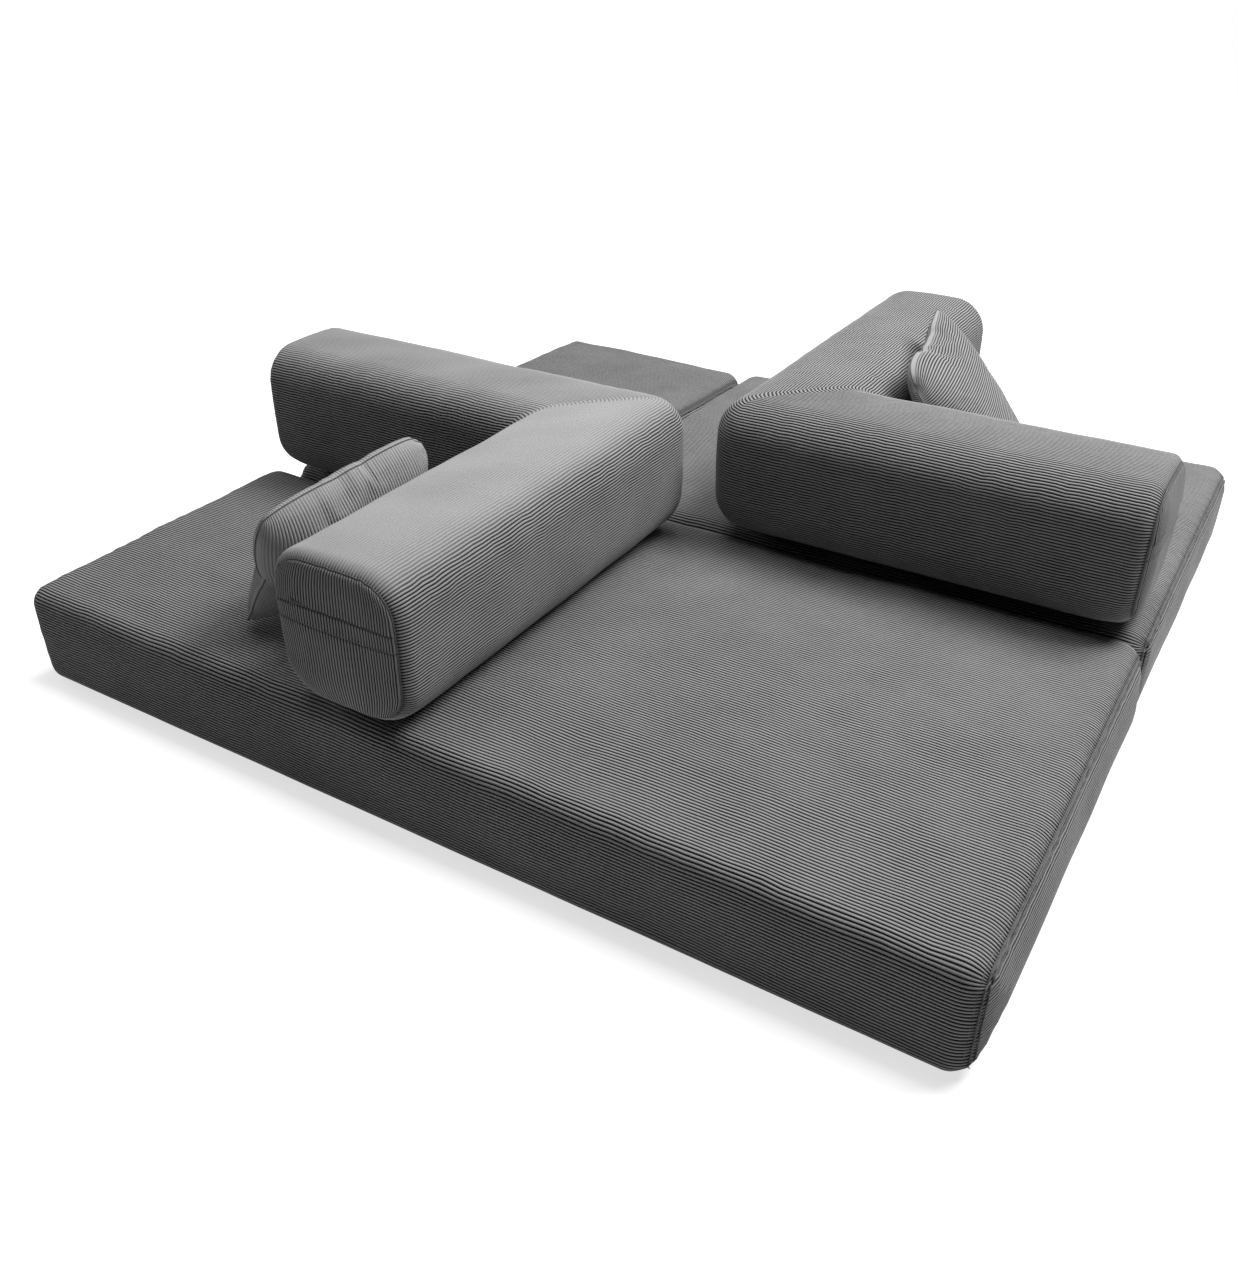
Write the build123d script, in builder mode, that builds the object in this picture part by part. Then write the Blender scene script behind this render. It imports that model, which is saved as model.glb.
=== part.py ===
from build123d import *
from math import cos, radians, sin
import os

# Modular floor sofa: three foam platforms on the floor, two L-shaped loose back bolsters, two
# scatter pillows. Millimetres, +Z up, origin on the floor under the middle of the outline,
# +X to the right along the front edge, +Y away from it.

# Sizes of the island
island_width = 1920.0
island_depth = 1850.0
platform_height = 210.0
front_depth = 940.0
step_depth = 685.0
rear_left_width = 660.0
rear_left_inset = 30.0
rear_left_turn = -1.8
module_gap = 0.5

# Upholstered form of a platform
platform_crown = 6.0
platform_bulge = 4.0
platform_top_round = 30.0
platform_base_round = 16.0
platform_corner_round = 40.0
firm_layer_height = 120.0
side_seam_inset = 20.0
underside_inset = 34.0

# Bolsters
bolster_width = 274.0
bolster_height = 302.0
bolster_crown = 8.0
bolster_bulge = 6.0
bolster_top_round = 80.0
bolster_base_round = 92.0
bolster_end_round = 32.0
bolster_end_bulge = 9.0
bolster_corner_round = 71.0
bolster_end_corner_round = 37.0
bolster_end_seam = 16.0
bolster_underside_inset = 104.0
bolster_zip_level = 210.0
left_corner_x = 996.0
left_corner_set_back = 24.0
left_corner_y = front_depth - left_corner_set_back
left_arm_forward = 941.0
left_arm_sideways = 958.0
right_corner_x = 1031.0
right_corner_set_back = 60.0
right_corner_y = front_depth - right_corner_set_back
right_arm_sideways = 874.0
right_arm_rearward = 973.0

# Pillows
pillow_width = 405.0
pillow_thickness = 134.0
left_pillow_rise = 304.0
right_pillow_rise = 346.0
pillow_draw_in_share = 0.055
left_pillow_reach = 626.5
left_pillow_side_gap = 6.9
left_pillow_seat_gap = 2.4
left_pillow_x_shares = (0.172, 0.976, 0.131)
left_pillow_normal_shares = (-0.794, 0.059, 0.606)
right_pillow_reach = 451.5
right_pillow_nesting = 16.2
right_pillow_seat_gap = 3.3
right_pillow_x_shares = (0.583, 0.166, -0.796)
right_pillow_normal_shares = (0.791, 0.111, 0.602)

# Cloth, foam and zips
cloth = 3.0
pillow_cloth = 2.0
pillow_seam = 9.0
rest_gap = 0.3
slit_height = 1.0
tape_width = 30.0
tape_thickness = 1.2
coil_width = 6.0
coil_depth = 2.4
running_gap = 0.3
slider_length = 14.0
slider_plate = 1.2
slider_lip = 1.6
tab_length = 24.0
tab_width = 5.0
tab_thickness = 0.9
tab_corner = 1.6
tab_overlap = 4.0
pocket_margin = 2.0
platform_zip_end = 130.0
bolster_zip_length = 170.0
bolster_zip_sink = 5.0
cut_overrun = 3.0
trim_ease = 1.0
zip_stack = tape_thickness + coil_depth + running_gap + slider_plate + tab_thickness + running_gap

# The bolsters overhang the platforms a little at the front and at the rear.
front_overhang = left_arm_forward - left_corner_y
rear_overhang = right_corner_y + right_arm_rearward - island_depth
left = -island_width / 2
front = -(island_depth + rear_overhang - front_overhang) / 2

os.makedirs("parts", exist_ok=True)


def write_piece(name, shape):
    shape.label = name
    export_step(shape, "parts/" + name + ".step")


def side_plane(place, along=0.0):
    origin = place.origin + place.x_dir * along
    return Plane(origin=origin, x_dir=place.y_dir, z_dir=place.x_dir)


def front_plane(place, along=0.0):
    origin = place.origin + place.y_dir * along
    return Plane(origin=origin, x_dir=place.x_dir, z_dir=-place.y_dir)


# Section of an upholstered block: bowed sides, crowned top, four rounded corners.
# rounds: near top, far top, far base, near base. A section that trims another stands ease proud of
# its top and base.
def section(length, height, inset, bulges, crown, rounds, start=0.0, ease=0.0):
    near, far = start + inset, length - inset
    low, high = inset - ease, height - inset + ease
    inner_near, inner_far = near + bulges[0], far - bulges[1]
    shoulder, middle = high - crown, (low + high) / 2
    with BuildSketch() as shape:
        with BuildLine():
            Line((inner_near, low), (inner_far, low))
            ThreePointArc((inner_far, low), (far, middle), (inner_far, shoulder))
            if crown > 0:
                ThreePointArc((inner_far, shoulder), ((near + far) / 2, high), (inner_near, shoulder))
            else:
                Line((inner_far, shoulder), (inner_near, shoulder))
            ThreePointArc((inner_near, shoulder), (near, middle), (inner_near, low))
        make_face()
        corners = ((inner_near, shoulder), (inner_far, shoulder), (inner_far, low), (inner_near, low))
        for corner, radius in zip(corners, rounds):
            fillet(vertices().sort_by_distance(corner)[0], radius - inset)
    return shape.sketch


# Closed plan outline with its own corner radius at each point.
def plan_outline(points, radii):
    with BuildSketch() as shape:
        with BuildLine():
            Polyline(points, close=True)
        make_face()
        for point, radius in zip(points, radii):
            if radius > 0:
                fillet(vertices().sort_by_distance(point)[0], radius)
    return shape.sketch


platform_rounds = (platform_top_round, platform_top_round, platform_base_round, platform_base_round)
platform_bulges = (platform_bulge, platform_bulge)


# Bows the two sides across the width of a platform form that stands ease proud of them.
def bowed_sides(place, width, depth, inset):
    profile = section(width, platform_height, inset, platform_bulges, 0, platform_rounds, ease=trim_ease)
    with BuildPart() as trim:
        with BuildSketch(front_plane(place, -trim_ease)):
            add(profile)
        extrude(amount=-depth - 2 * trim_ease)
    return trim.part


# Rectangular platform form in its own place: x across, y away, z up.
def platform_form(place, width, depth, inset):
    with BuildPart() as form:
        with BuildSketch(side_plane(place, inset - trim_ease)):
            add(section(depth, platform_height, inset, platform_bulges, platform_crown, platform_rounds))
        extrude(amount=width - 2 * inset + 2 * trim_ease)
        add(bowed_sides(place, width, depth, inset), mode=Mode.INTERSECT)
        with BuildSketch(place.offset(-trim_ease)):
            with Locations((width / 2, depth / 2)):
                plan_width = width - 2 * inset + 2 * trim_ease
                plan_depth = depth - 2 * inset + 2 * trim_ease
                RectangleRounded(plan_width, plan_depth, platform_corner_round - inset)
        extrude(amount=platform_height + 2 * trim_ease, mode=Mode.INTERSECT)
    return form.part


# The front platform is one piece whose back edge steps forward at the left, under the bolster.
def stepped_form(place, inset):
    step_x = rear_left_width + inset
    reach = inset - trim_ease
    full = section(front_depth, platform_height, inset, platform_bulges, platform_crown, platform_rounds)
    with BuildPart() as form:
        with BuildSketch(side_plane(place, step_x)):
            add(full)
        extrude(amount=island_width - reach - step_x)
        with BuildSketch(side_plane(place, reach)):
            add(full)
            with Locations((step_depth / 2 - inset, platform_height / 2)):
                Rectangle(step_depth, platform_height, mode=Mode.INTERSECT)
            for group in (-1, 0):
                corner = vertices().group_by(Axis.X)[-1].sort_by(Axis.Y)[group]
                fillet(corner, (platform_top_round if group else platform_base_round) - inset)
        extrude(amount=step_x - reach)
        add(bowed_sides(place, island_width, front_depth, inset), mode=Mode.INTERSECT)
        right, back = island_width - reach, front_depth - reach
        soft = platform_corner_round - inset
        with BuildSketch(place.offset(-trim_ease)):
            outline = (
                (reach, reach),
                (right, reach),
                (right, back),
                (step_x - trim_ease, back),
                (step_x - trim_ease, step_depth - reach),
                (reach, step_depth - reach),
            )
            add(plan_outline(outline, (soft, soft, soft, 0, 0, soft)))
        extrude(amount=platform_height + 2 * trim_ease, mode=Mode.INTERSECT)
    return form.part


# L-shaped bolster form, mitred at its corner. Its place has the outer corner as origin and an arm
# along x and along y.
def bolster_form(place, x_arm, y_arm, inset):
    across_bulges = (bolster_bulge, bolster_bulge)
    across_rounds = (bolster_top_round, bolster_top_round, bolster_base_round, bolster_base_round)
    end_bulges = (bolster_bulge, bolster_end_bulge)
    end_rounds = (bolster_end_round, bolster_end_round, bolster_end_round, bolster_end_round)
    across = section(bolster_width, bolster_height, inset, across_bulges, bolster_crown, across_rounds)
    mitre = Plane(origin=place.origin, x_dir=place.z_dir, z_dir=place.x_dir - place.y_dir)
    arms = []
    for length, along, over, keep in (
        (x_arm, side_plane, front_plane, Keep.TOP),
        (y_arm, front_plane, side_plane, Keep.BOTTOM),
    ):
        turn = 1 if along is side_plane else -1
        end = section(
            length, bolster_height, inset, end_bulges, 0, end_rounds, start=-bolster_width, ease=trim_ease
        )
        with BuildPart() as arm:
            with BuildSketch(along(place, -trim_ease)):
                add(across)
            extrude(amount=turn * (length - inset + 2 * trim_ease))
            with BuildSketch(over(place, -trim_ease)):
                add(end)
            extrude(amount=-turn * (bolster_width + 2 * trim_ease), mode=Mode.INTERSECT)
            split(bisect_by=mitre, keep=keep)
        arms.append(arm.part)
    low, wide = inset - trim_ease, bolster_width - inset + trim_ease
    far_x, far_y = x_arm - inset + trim_ease, y_arm - inset + trim_ease
    outer, end_soft = bolster_corner_round - inset, bolster_end_corner_round - inset
    with BuildPart() as form:
        add(arms)
        with BuildSketch(place.offset(-trim_ease)):
            outline = (
                (low, low),
                (far_x, low),
                (far_x, wide),
                (wide, wide),
                (wide, far_y),
                (low, far_y),
            )
            add(plan_outline(outline, (outer, end_soft, end_soft, 0, end_soft, end_soft)))
        extrude(amount=bolster_height + 2 * trim_ease, mode=Mode.INTERSECT)
    return form.part


# Pillow form: pointed corners and drawn-in sides at the seam, rounder and smaller towards the crown.
# Each level: height share, size share, bow of the sides as a share of the side.
pillow_level_shares = (
    (0.0, 1.0, -pillow_draw_in_share),
    (0.38, 0.93, -0.012),
    (0.7, 0.77, 0.05),
    (0.91, 0.52, 0.10),
    (1.0, 0.22, 0.14),
)


def pillow_half(place, rise, thickness, inset, upper):
    turn = 1 if upper else -1
    with BuildPart() as half:
        for level, size_share, bow in pillow_level_shares:
            x = (pillow_width / 2 - inset) * size_share
            y = (rise / 2 - inset) * size_share
            with BuildSketch(place.offset(turn * level * thickness / 2)):
                with BuildLine():
                    ThreePointArc((-x, -y), (0, -y - bow * 2 * x), (x, -y))
                    ThreePointArc((x, -y), (x + bow * 2 * y, 0), (x, y))
                    ThreePointArc((x, y), (0, y + bow * 2 * x), (-x, y))
                    ThreePointArc((-x, y), (-x - bow * 2 * y, 0), (-x, -y))
                make_face()
        loft()
    return half.part


# Slit, pocket, tape with coil, and slider of a concealed zip. Its place lies on the inner face of
# the cover, x along the zip and z outwards. The tape lies deeper by sink where the cover bows.
def zip_pieces(place, length, name, sink=0.0):
    floor = -zip_stack - sink
    half_travel = length / 2 - slider_length
    with BuildPart() as pocket:
        with BuildSketch(place.offset(floor)):
            Rectangle(length + 2 * pocket_margin, tape_width + 2 * pocket_margin)
        extrude(amount=zip_stack + sink + cut_overrun)
    with BuildPart() as slit:
        with BuildSketch(place.offset(-cut_overrun)):
            Rectangle(length, slit_height)
        extrude(amount=cloth + 2 * cut_overrun)
    with BuildPart() as tape:
        with BuildSketch(place.offset(floor)):
            Rectangle(length, tape_width)
        extrude(amount=tape_thickness)
        with BuildSketch(place.offset(floor + tape_thickness)):
            Rectangle(length - slider_length / 2, coil_width)
        extrude(amount=coil_depth)
    lip_width = coil_width + 2 * running_gap + 2 * slider_lip
    plate_level = floor + tape_thickness + coil_depth + running_gap
    with BuildPart() as slider:
        with BuildSketch(place.offset(floor + tape_thickness + running_gap)):
            with Locations((-half_travel, 0)):
                Rectangle(slider_length, lip_width)
                Rectangle(slider_length, coil_width + 2 * running_gap, mode=Mode.SUBTRACT)
        extrude(amount=coil_depth)
        with BuildSketch(place.offset(plate_level)):
            with Locations((-half_travel, 0)):
                RectangleRounded(slider_length, lip_width, slider_lip)
        extrude(amount=slider_plate)
        with BuildSketch(place.offset(plate_level + slider_plate)):
            with Locations((-half_travel - tab_overlap + tab_length / 2, 0)):
                RectangleRounded(tab_length, tab_width, tab_corner)
        extrude(amount=tab_thickness)
    write_piece(name + "_zip_tape", tape.part)
    write_piece(name + "_zip_slider", slider.part)
    return slit.part, pocket.part


# Cover, underside cloth, foam and zip of one platform.
def platform(name, place, width, depth, outline, form, zip_from):
    with BuildPart() as window:
        with BuildSketch(place):
            add(outline)
        extrude(amount=cloth)
    zip_length = width - zip_from - platform_zip_end
    zip_x = zip_from + zip_length / 2
    zip_origin = place.from_local_coords((zip_x, depth - cloth, platform_height / 2))
    zip_place = Plane(origin=zip_origin, x_dir=-place.x_dir, z_dir=place.y_dir)
    slit, pocket = zip_pieces(zip_place, zip_length, name)
    with BuildPart() as cover:
        add(form(0.0))
        add(form(cloth), mode=Mode.SUBTRACT)
        add(window.part, mode=Mode.SUBTRACT)
        add(slit, mode=Mode.SUBTRACT)
    seams = (side_plane(place, side_seam_inset), side_plane(place, width - side_seam_inset))
    with BuildPart() as wrap:
        add(cover.part)
        split(bisect_by=seams[0], keep=Keep.TOP)
        split(bisect_by=seams[1], keep=Keep.BOTTOM)
    write_piece(name + "_cover_wrap", wrap.part)
    for side, seam, keep in (("left", seams[0], Keep.BOTTOM), ("right", seams[1], Keep.TOP)):
        with BuildPart() as panel:
            add(cover.part)
            split(bisect_by=seam, keep=keep)
        write_piece(name + "_cover_side_" + side, panel.part)
    write_piece(name + "_underside_cloth", window.part)
    layer = place.offset(firm_layer_height)
    for piece, keep in (("_foam_firm_layer", Keep.BOTTOM), ("_foam_soft_layer", Keep.TOP)):
        with BuildPart() as foam:
            add(form(cloth + rest_gap))
            add(pocket, mode=Mode.SUBTRACT)
            split(bisect_by=layer, keep=keep)
        write_piece(name + piece, foam.part)


def rectangle_outline(width, depth):
    with BuildSketch() as shape:
        with Locations((width / 2, depth / 2)):
            Rectangle(width - 2 * underside_inset, depth - 2 * underside_inset)
    return shape.sketch


# Front platform
front_place = Plane(origin=(left, front, 0))
low_edge = underside_inset
right_edge = island_width - underside_inset
front_outline = plan_outline(
    (
        (low_edge, low_edge),
        (right_edge, low_edge),
        (right_edge, front_depth - low_edge),
        (rear_left_width + low_edge, front_depth - low_edge),
        (rear_left_width + low_edge, step_depth - low_edge),
        (low_edge, step_depth - low_edge),
    ),
    (0, 0, 0, 0, 0, 0),
)
platform(
    "front_platform",
    front_place,
    island_width,
    front_depth,
    front_outline,
    lambda inset: stepped_form(front_place, inset),
    rear_left_width + platform_zip_end,
)

# Rear right platform
rear_right_width = island_width - rear_left_width
rear_right_depth = island_depth - front_depth - module_gap
rear_right_place = Plane(origin=(left + rear_left_width, front + front_depth + module_gap, 0))
platform(
    "rear_right_platform",
    rear_right_place,
    rear_right_width,
    rear_right_depth,
    rectangle_outline(rear_right_width, rear_right_depth),
    lambda inset: platform_form(rear_right_place, rear_right_width, rear_right_depth, inset),
    platform_zip_end,
)

# Rear left platform, left standing a little askew
turn_cos, turn_sin = cos(radians(rear_left_turn)), sin(radians(rear_left_turn))
askew_depth = (island_depth - step_depth - module_gap) / (turn_cos - turn_sin / 2)
askew_width = (rear_left_width - module_gap - rear_left_inset + askew_depth * turn_sin) / turn_cos
rear_left_place = Plane(
    origin=(left + rear_left_inset, front + step_depth + module_gap - askew_width * turn_sin, 0),
    x_dir=(turn_cos, turn_sin, 0),
    z_dir=(0, 0, 1),
)
platform(
    "rear_left_platform",
    rear_left_place,
    askew_width,
    askew_depth,
    rectangle_outline(askew_width, askew_depth),
    lambda inset: platform_form(rear_left_place, askew_width, askew_depth, inset),
    platform_zip_end,
)


# Cover, underside cloth, foam and zip of one bolster. The zip closes the end of the zip_arm.
def bolster(name, place, x_arm, y_arm, zip_arm):
    rim, wide = bolster_underside_inset, bolster_width - bolster_underside_inset
    far_x, far_y = x_arm - bolster_underside_inset, y_arm - bolster_underside_inset
    with BuildPart() as window:
        with BuildSketch(place):
            corners = ((rim, rim), (far_x, rim), (far_x, wide), (wide, wide), (wide, far_y), (rim, far_y))
            add(plan_outline(corners, (0, 0, 0, 0, 0, 0)))
        extrude(amount=cloth)
    if zip_arm == "x":
        spot = (x_arm - cloth, bolster_width / 2, bolster_zip_level)
        zip_place = Plane(origin=place.from_local_coords(spot), x_dir=place.y_dir, z_dir=place.x_dir)
    else:
        spot = (bolster_width / 2, y_arm - cloth, bolster_zip_level)
        zip_place = Plane(origin=place.from_local_coords(spot), x_dir=-place.x_dir, z_dir=place.y_dir)
    slit, pocket = zip_pieces(zip_place, bolster_zip_length, name, bolster_zip_sink)
    with BuildPart() as cover:
        add(bolster_form(place, x_arm, y_arm, 0.0))
        add(bolster_form(place, x_arm, y_arm, cloth), mode=Mode.SUBTRACT)
        add(window.part, mode=Mode.SUBTRACT)
        add(slit, mode=Mode.SUBTRACT)
    x_seam = side_plane(place, x_arm - bolster_end_seam)
    y_seam = front_plane(place, y_arm - bolster_end_seam)
    with BuildPart() as wrap:
        add(cover.part)
        split(bisect_by=x_seam, keep=Keep.BOTTOM)
        split(bisect_by=y_seam, keep=Keep.TOP)
    write_piece(name + "_cover_wrap", wrap.part)
    for piece, seam, keep in (("_cover_end_x", x_seam, Keep.TOP), ("_cover_end_y", y_seam, Keep.BOTTOM)):
        with BuildPart() as panel:
            add(cover.part)
            split(bisect_by=seam, keep=keep)
        write_piece(name + piece, panel.part)
    write_piece(name + "_underside_cloth", window.part)
    butt = front_plane(place, bolster_width)
    for piece, keep in (("_foam_long_block", Keep.TOP), ("_foam_short_block", Keep.BOTTOM)):
        with BuildPart() as foam:
            add(bolster_form(place, x_arm, y_arm, cloth + rest_gap))
            add(pocket, mode=Mode.SUBTRACT)
            split(bisect_by=butt, keep=keep)
        write_piece(name + piece, foam.part)


seat_level = platform_height + rest_gap

# Left bolster: arms to the left and to the front
bolster(
    "left_bolster",
    Plane(origin=(left + left_corner_x, front + left_corner_y, seat_level), x_dir=(-1, 0, 0), z_dir=(0, 0, 1)),
    left_arm_sideways,
    left_arm_forward,
    "y",
)

# Right bolster: arms to the right and to the rear
bolster(
    "right_bolster",
    Plane(origin=(left + right_corner_x, front + right_corner_y, seat_level)),
    right_arm_sideways,
    right_arm_rearward,
    "x",
)


# Two face panels sewn round the edge, with a filled insert inside. It leans towards face_x and
# stands on the seat; gap is its room to the bolster's face, below zero where it nests over the edge.
def pillow(name, face_x, side, reach_y, gap, seat_gap, x_dir, normal, rise):
    lean = Plane(origin=(0, 0, 0), x_dir=x_dir, z_dir=normal)
    half_x = (pillow_width * abs(lean.x_dir.X) + rise * abs(lean.y_dir.X)) / 2
    half_z = (pillow_width * abs(lean.x_dir.Z) + rise * abs(lean.y_dir.Z)) / 2
    centre = (face_x + side * (half_x + gap), reach_y, seat_level + half_z + seat_gap)
    place = Plane(origin=centre, x_dir=x_dir, z_dir=normal)
    for piece, upper in (("_cover_face", True), ("_cover_back", False)):
        with BuildPart() as panel:
            add(pillow_half(place, rise, pillow_thickness, 0.0, upper))
            hollow = pillow_thickness - 2 * pillow_cloth
            add(pillow_half(place, rise, hollow, pillow_seam, upper), mode=Mode.SUBTRACT)
        write_piece(name + piece, panel.part)
    with BuildPart() as insert:
        filled = pillow_thickness - 2 * pillow_cloth - 2 * rest_gap
        for upper in (True, False):
            add(pillow_half(place, rise, filled, pillow_seam + rest_gap, upper))
    write_piece(name + "_insert", insert.part)


# Scatter pillows
pillow(
    "left_pillow",
    left + left_corner_x - bolster_width,
    -1,
    front + left_corner_y - left_pillow_reach,
    left_pillow_side_gap,
    left_pillow_seat_gap,
    left_pillow_x_shares,
    left_pillow_normal_shares,
    left_pillow_rise,
)
pillow(
    "right_pillow",
    left + right_corner_x + bolster_width,
    1,
    front + right_corner_y + right_pillow_reach,
    -right_pillow_nesting,
    right_pillow_seat_gap,
    right_pillow_x_shares,
    right_pillow_normal_shares,
    right_pillow_rise,
)
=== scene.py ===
import math

import bmesh
import bpy
import numpy as np
from mathutils import Matrix, Vector


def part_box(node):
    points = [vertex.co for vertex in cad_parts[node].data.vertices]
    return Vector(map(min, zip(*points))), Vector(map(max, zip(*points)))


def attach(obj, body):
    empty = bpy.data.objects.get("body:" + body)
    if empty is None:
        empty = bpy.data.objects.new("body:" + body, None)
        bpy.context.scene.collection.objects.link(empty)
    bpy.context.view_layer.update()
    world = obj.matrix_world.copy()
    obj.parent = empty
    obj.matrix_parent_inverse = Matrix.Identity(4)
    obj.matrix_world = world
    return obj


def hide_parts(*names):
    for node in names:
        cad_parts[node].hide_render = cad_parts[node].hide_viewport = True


# modular floor sofa in jumbo cord: three platforms, two L-shaped bolsters, two pillows
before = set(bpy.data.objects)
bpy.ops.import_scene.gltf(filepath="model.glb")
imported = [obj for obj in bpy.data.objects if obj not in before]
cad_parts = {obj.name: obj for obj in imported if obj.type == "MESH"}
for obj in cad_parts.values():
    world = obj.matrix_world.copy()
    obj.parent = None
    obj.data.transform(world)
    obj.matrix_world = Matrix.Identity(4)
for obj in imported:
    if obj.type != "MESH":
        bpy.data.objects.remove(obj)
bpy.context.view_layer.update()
mm = 0.001

# the island's plan, as in the frame: origin on the floor under the middle of the outline
island = {
    "left": -960 * mm,
    "front": -914 * mm,
    "width": 1920 * mm,
    "height": 210 * mm,
    "seat": 210.3 * mm,
    "pitch": 6.4 * mm,  # one cord to the next
    "cordDepth": 2.6 * mm,
    "cordSamples": (0.0, 0.13, 0.36, 0.64, 0.87),  # shares of the pitch, closest in the groove
    "cordMean": 0.62,  # this share of a cord's height lies on the cloth's mean surface
    "skinInset": 1.2 * mm,  # the cloth's mean surface under the cords' crests
    "weld": 0.02 * mm,  # points that lie closer are one
}


# small tools
def addObject(name, data):
    piece = bpy.data.objects.new(name, data)
    bpy.context.scene.collection.objects.link(piece)
    return piece


def placeMatrix(x, y, z, turn=0.0):
    return Matrix.Translation((x, y, z)) @ Matrix.Rotation(turn, 4, "Z")


def toWorld(points, place):
    matrix = np.array(place)
    return points @ matrix[:3, :3].T + matrix[:3, 3]


def softNoise(a, b, seed, size, waves=14):
    # smooth noise of about -1..1, the same on every run
    rng = np.random.default_rng(seed)
    total = np.zeros(np.broadcast(a, b).shape)
    for _ in range(waves):
        angle = rng.uniform(0, 2 * math.pi)
        freq = 2 * math.pi / (size * rng.uniform(0.7, 1.7))
        phase = rng.uniform(0, 2 * math.pi)
        total = total + np.sin((a * math.cos(angle) + b * math.sin(angle)) * freq + phase)
    return total * math.sqrt(2 / waves) * 0.7


def smooth(x, low, high):
    t = np.clip((x - low) / (high - low), 0, 1)
    return t * t * (3 - 2 * t)


def stations(start, stop, step, ends=((0, 0), (0, 0))):
    # positions from start to stop, closer together near either end: ends = (reach, step) each
    (reachA, stepA), (reachB, stepB) = ends
    parts = [np.array([start])]
    low, high = start, stop
    if reachA:
        n = max(1, round(reachA / stepA))
        parts.append(start + reachA * np.arange(1, n + 1) / n)
        low = start + reachA
    if reachB:
        high = stop - reachB
    n = max(1, round((high - low) / step))
    parts.append(low + (high - low) * np.arange(1, n + 1) / n)
    if reachB:
        n = max(1, round(reachB / stepB))
        parts.append(high + reachB * np.arange(1, n + 1) / n)
    return np.concatenate(parts)


def cordRows(length, pitch):
    # sample positions across the cords
    count = int(math.ceil(length / pitch)) + 1
    rows = (np.arange(count)[:, None] + np.array(island["cordSamples"])[None, :]).ravel() * pitch
    rows = rows[rows <= length]
    return np.concatenate([rows, [length]]) if length - rows[-1] > 0.01 * mm else rows


class Surface:
    # gathers grids of points and turns them into one mesh with its cord coordinates
    def __init__(self):
        self.points, self.faces, self.count = [], [], 0
        self.values = {"across": [], "along": [], "cordMask": [], "worn": []}

    # the last value of each point is painted light above nought and painted shade below it
    def add(self, grid, across, along, mask, worn=0.0, closeRows=False):
        n, m = grid.shape[:2]
        index = self.count + np.arange(n * m).reshape(n, m)
        if closeRows:
            index = np.concatenate([index, index[:1]])
        corners = (index[:-1, :-1], index[:-1, 1:], index[1:, 1:], index[1:, :-1])
        self.faces.append(np.stack(corners, axis=-1).reshape(-1, 4))
        self.points.append(grid.reshape(-1, 3))
        for parts, value in zip(self.values.values(), (across, along, mask, worn)):
            parts.append(np.broadcast_to(value, (n, m)).reshape(-1))
        self.count += n * m

    def build(self, name, place):
        points, faces = np.concatenate(self.points), np.concatenate(self.faces)
        values = {label: np.concatenate(parts) for label, parts in self.values.items()}
        # points that meet become one, and a face that loses a corner by it becomes a triangle
        key = np.round(points / island["weld"]).astype(np.int64)
        _, first, inverse = np.unique(key, axis=0, return_index=True, return_inverse=True)
        welded = inverse.ravel()[faces]
        cornerUv = np.stack([values["along"][faces], values["across"][faces]], axis=-1)
        whole = np.array([len(set(face)) == 4 for face in welded.tolist()])
        loops, uvs = welded[whole].tolist(), [cornerUv[whole].reshape(-1, 2)]
        for face, uv in zip(welded[~whole].tolist(), cornerUv[~whole]):
            kept = [k for k in range(4) if face[k] not in face[:k]]
            if len(kept) == 3:
                loops.append([face[k] for k in kept])
                uvs.append(uv[kept])
        mesh = bpy.data.meshes.new(name)
        mesh.from_pydata(toWorld(points[first], place).tolist(), [], loops)
        mesh.update()
        layer = mesh.uv_layers.new(name="cord")
        layer.data.foreach_set("uv", np.concatenate(uvs).astype(np.float32).ravel())
        for label in ("across", "cordMask", "worn"):
            item = mesh.attributes.new(label, "FLOAT", "POINT")
            item.data.foreach_set("value", values[label][first].astype(np.float32))
        mesh.shade_smooth()
        mesh.materials.append(cord)
        piece = addObject(name, mesh)
        turnOutward(piece)
        return piece


def turnOutward(piece):
    # flips the faces where the closed form's volume comes out negative
    mesh = piece.data
    mesh.calc_loop_triangles()
    tris = np.empty(len(mesh.loop_triangles) * 3, dtype=np.int64)
    mesh.loop_triangles.foreach_get("vertices", tris)
    co = np.empty(len(mesh.vertices) * 3)
    mesh.vertices.foreach_get("co", co)
    co = co.reshape(-1, 3)
    co = co - co.mean(axis=0)
    a, b, c = (co[tris.reshape(-1, 3)[:, k]] for k in range(3))
    if np.einsum("ij,ij->i", a, np.cross(b, c)).sum() < 0:
        mesh.flip_normals()


def orient(piece, direction):
    # an open panel's faces must look away from its block, in this direction
    mesh = piece.data
    total = Vector((0, 0, 0))
    for polygon in mesh.polygons:
        total += polygon.normal * polygon.area
    if total.dot(direction) < 0:
        mesh.flip_normals()


def bakeTree(piece, tree, values):
    # runs a geometry tree on the piece and keeps the result as its plain mesh
    modifier = piece.modifiers.new("making", "NODES")
    modifier.node_group = tree
    inputs = [item for item in tree.interface.items_tree if item.in_out == "INPUT"]
    sockets = {item.name: item.identifier for item in inputs}
    for name, value in values.items():
        modifier[sockets[name]] = value
    depsgraph = bpy.context.evaluated_depsgraph_get()
    made = bpy.data.meshes.new_from_object(piece.evaluated_get(depsgraph))
    old = piece.data
    piece.modifiers.clear()
    piece.data = made
    made.name = old.name
    bpy.data.meshes.remove(old)
    return piece


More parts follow.
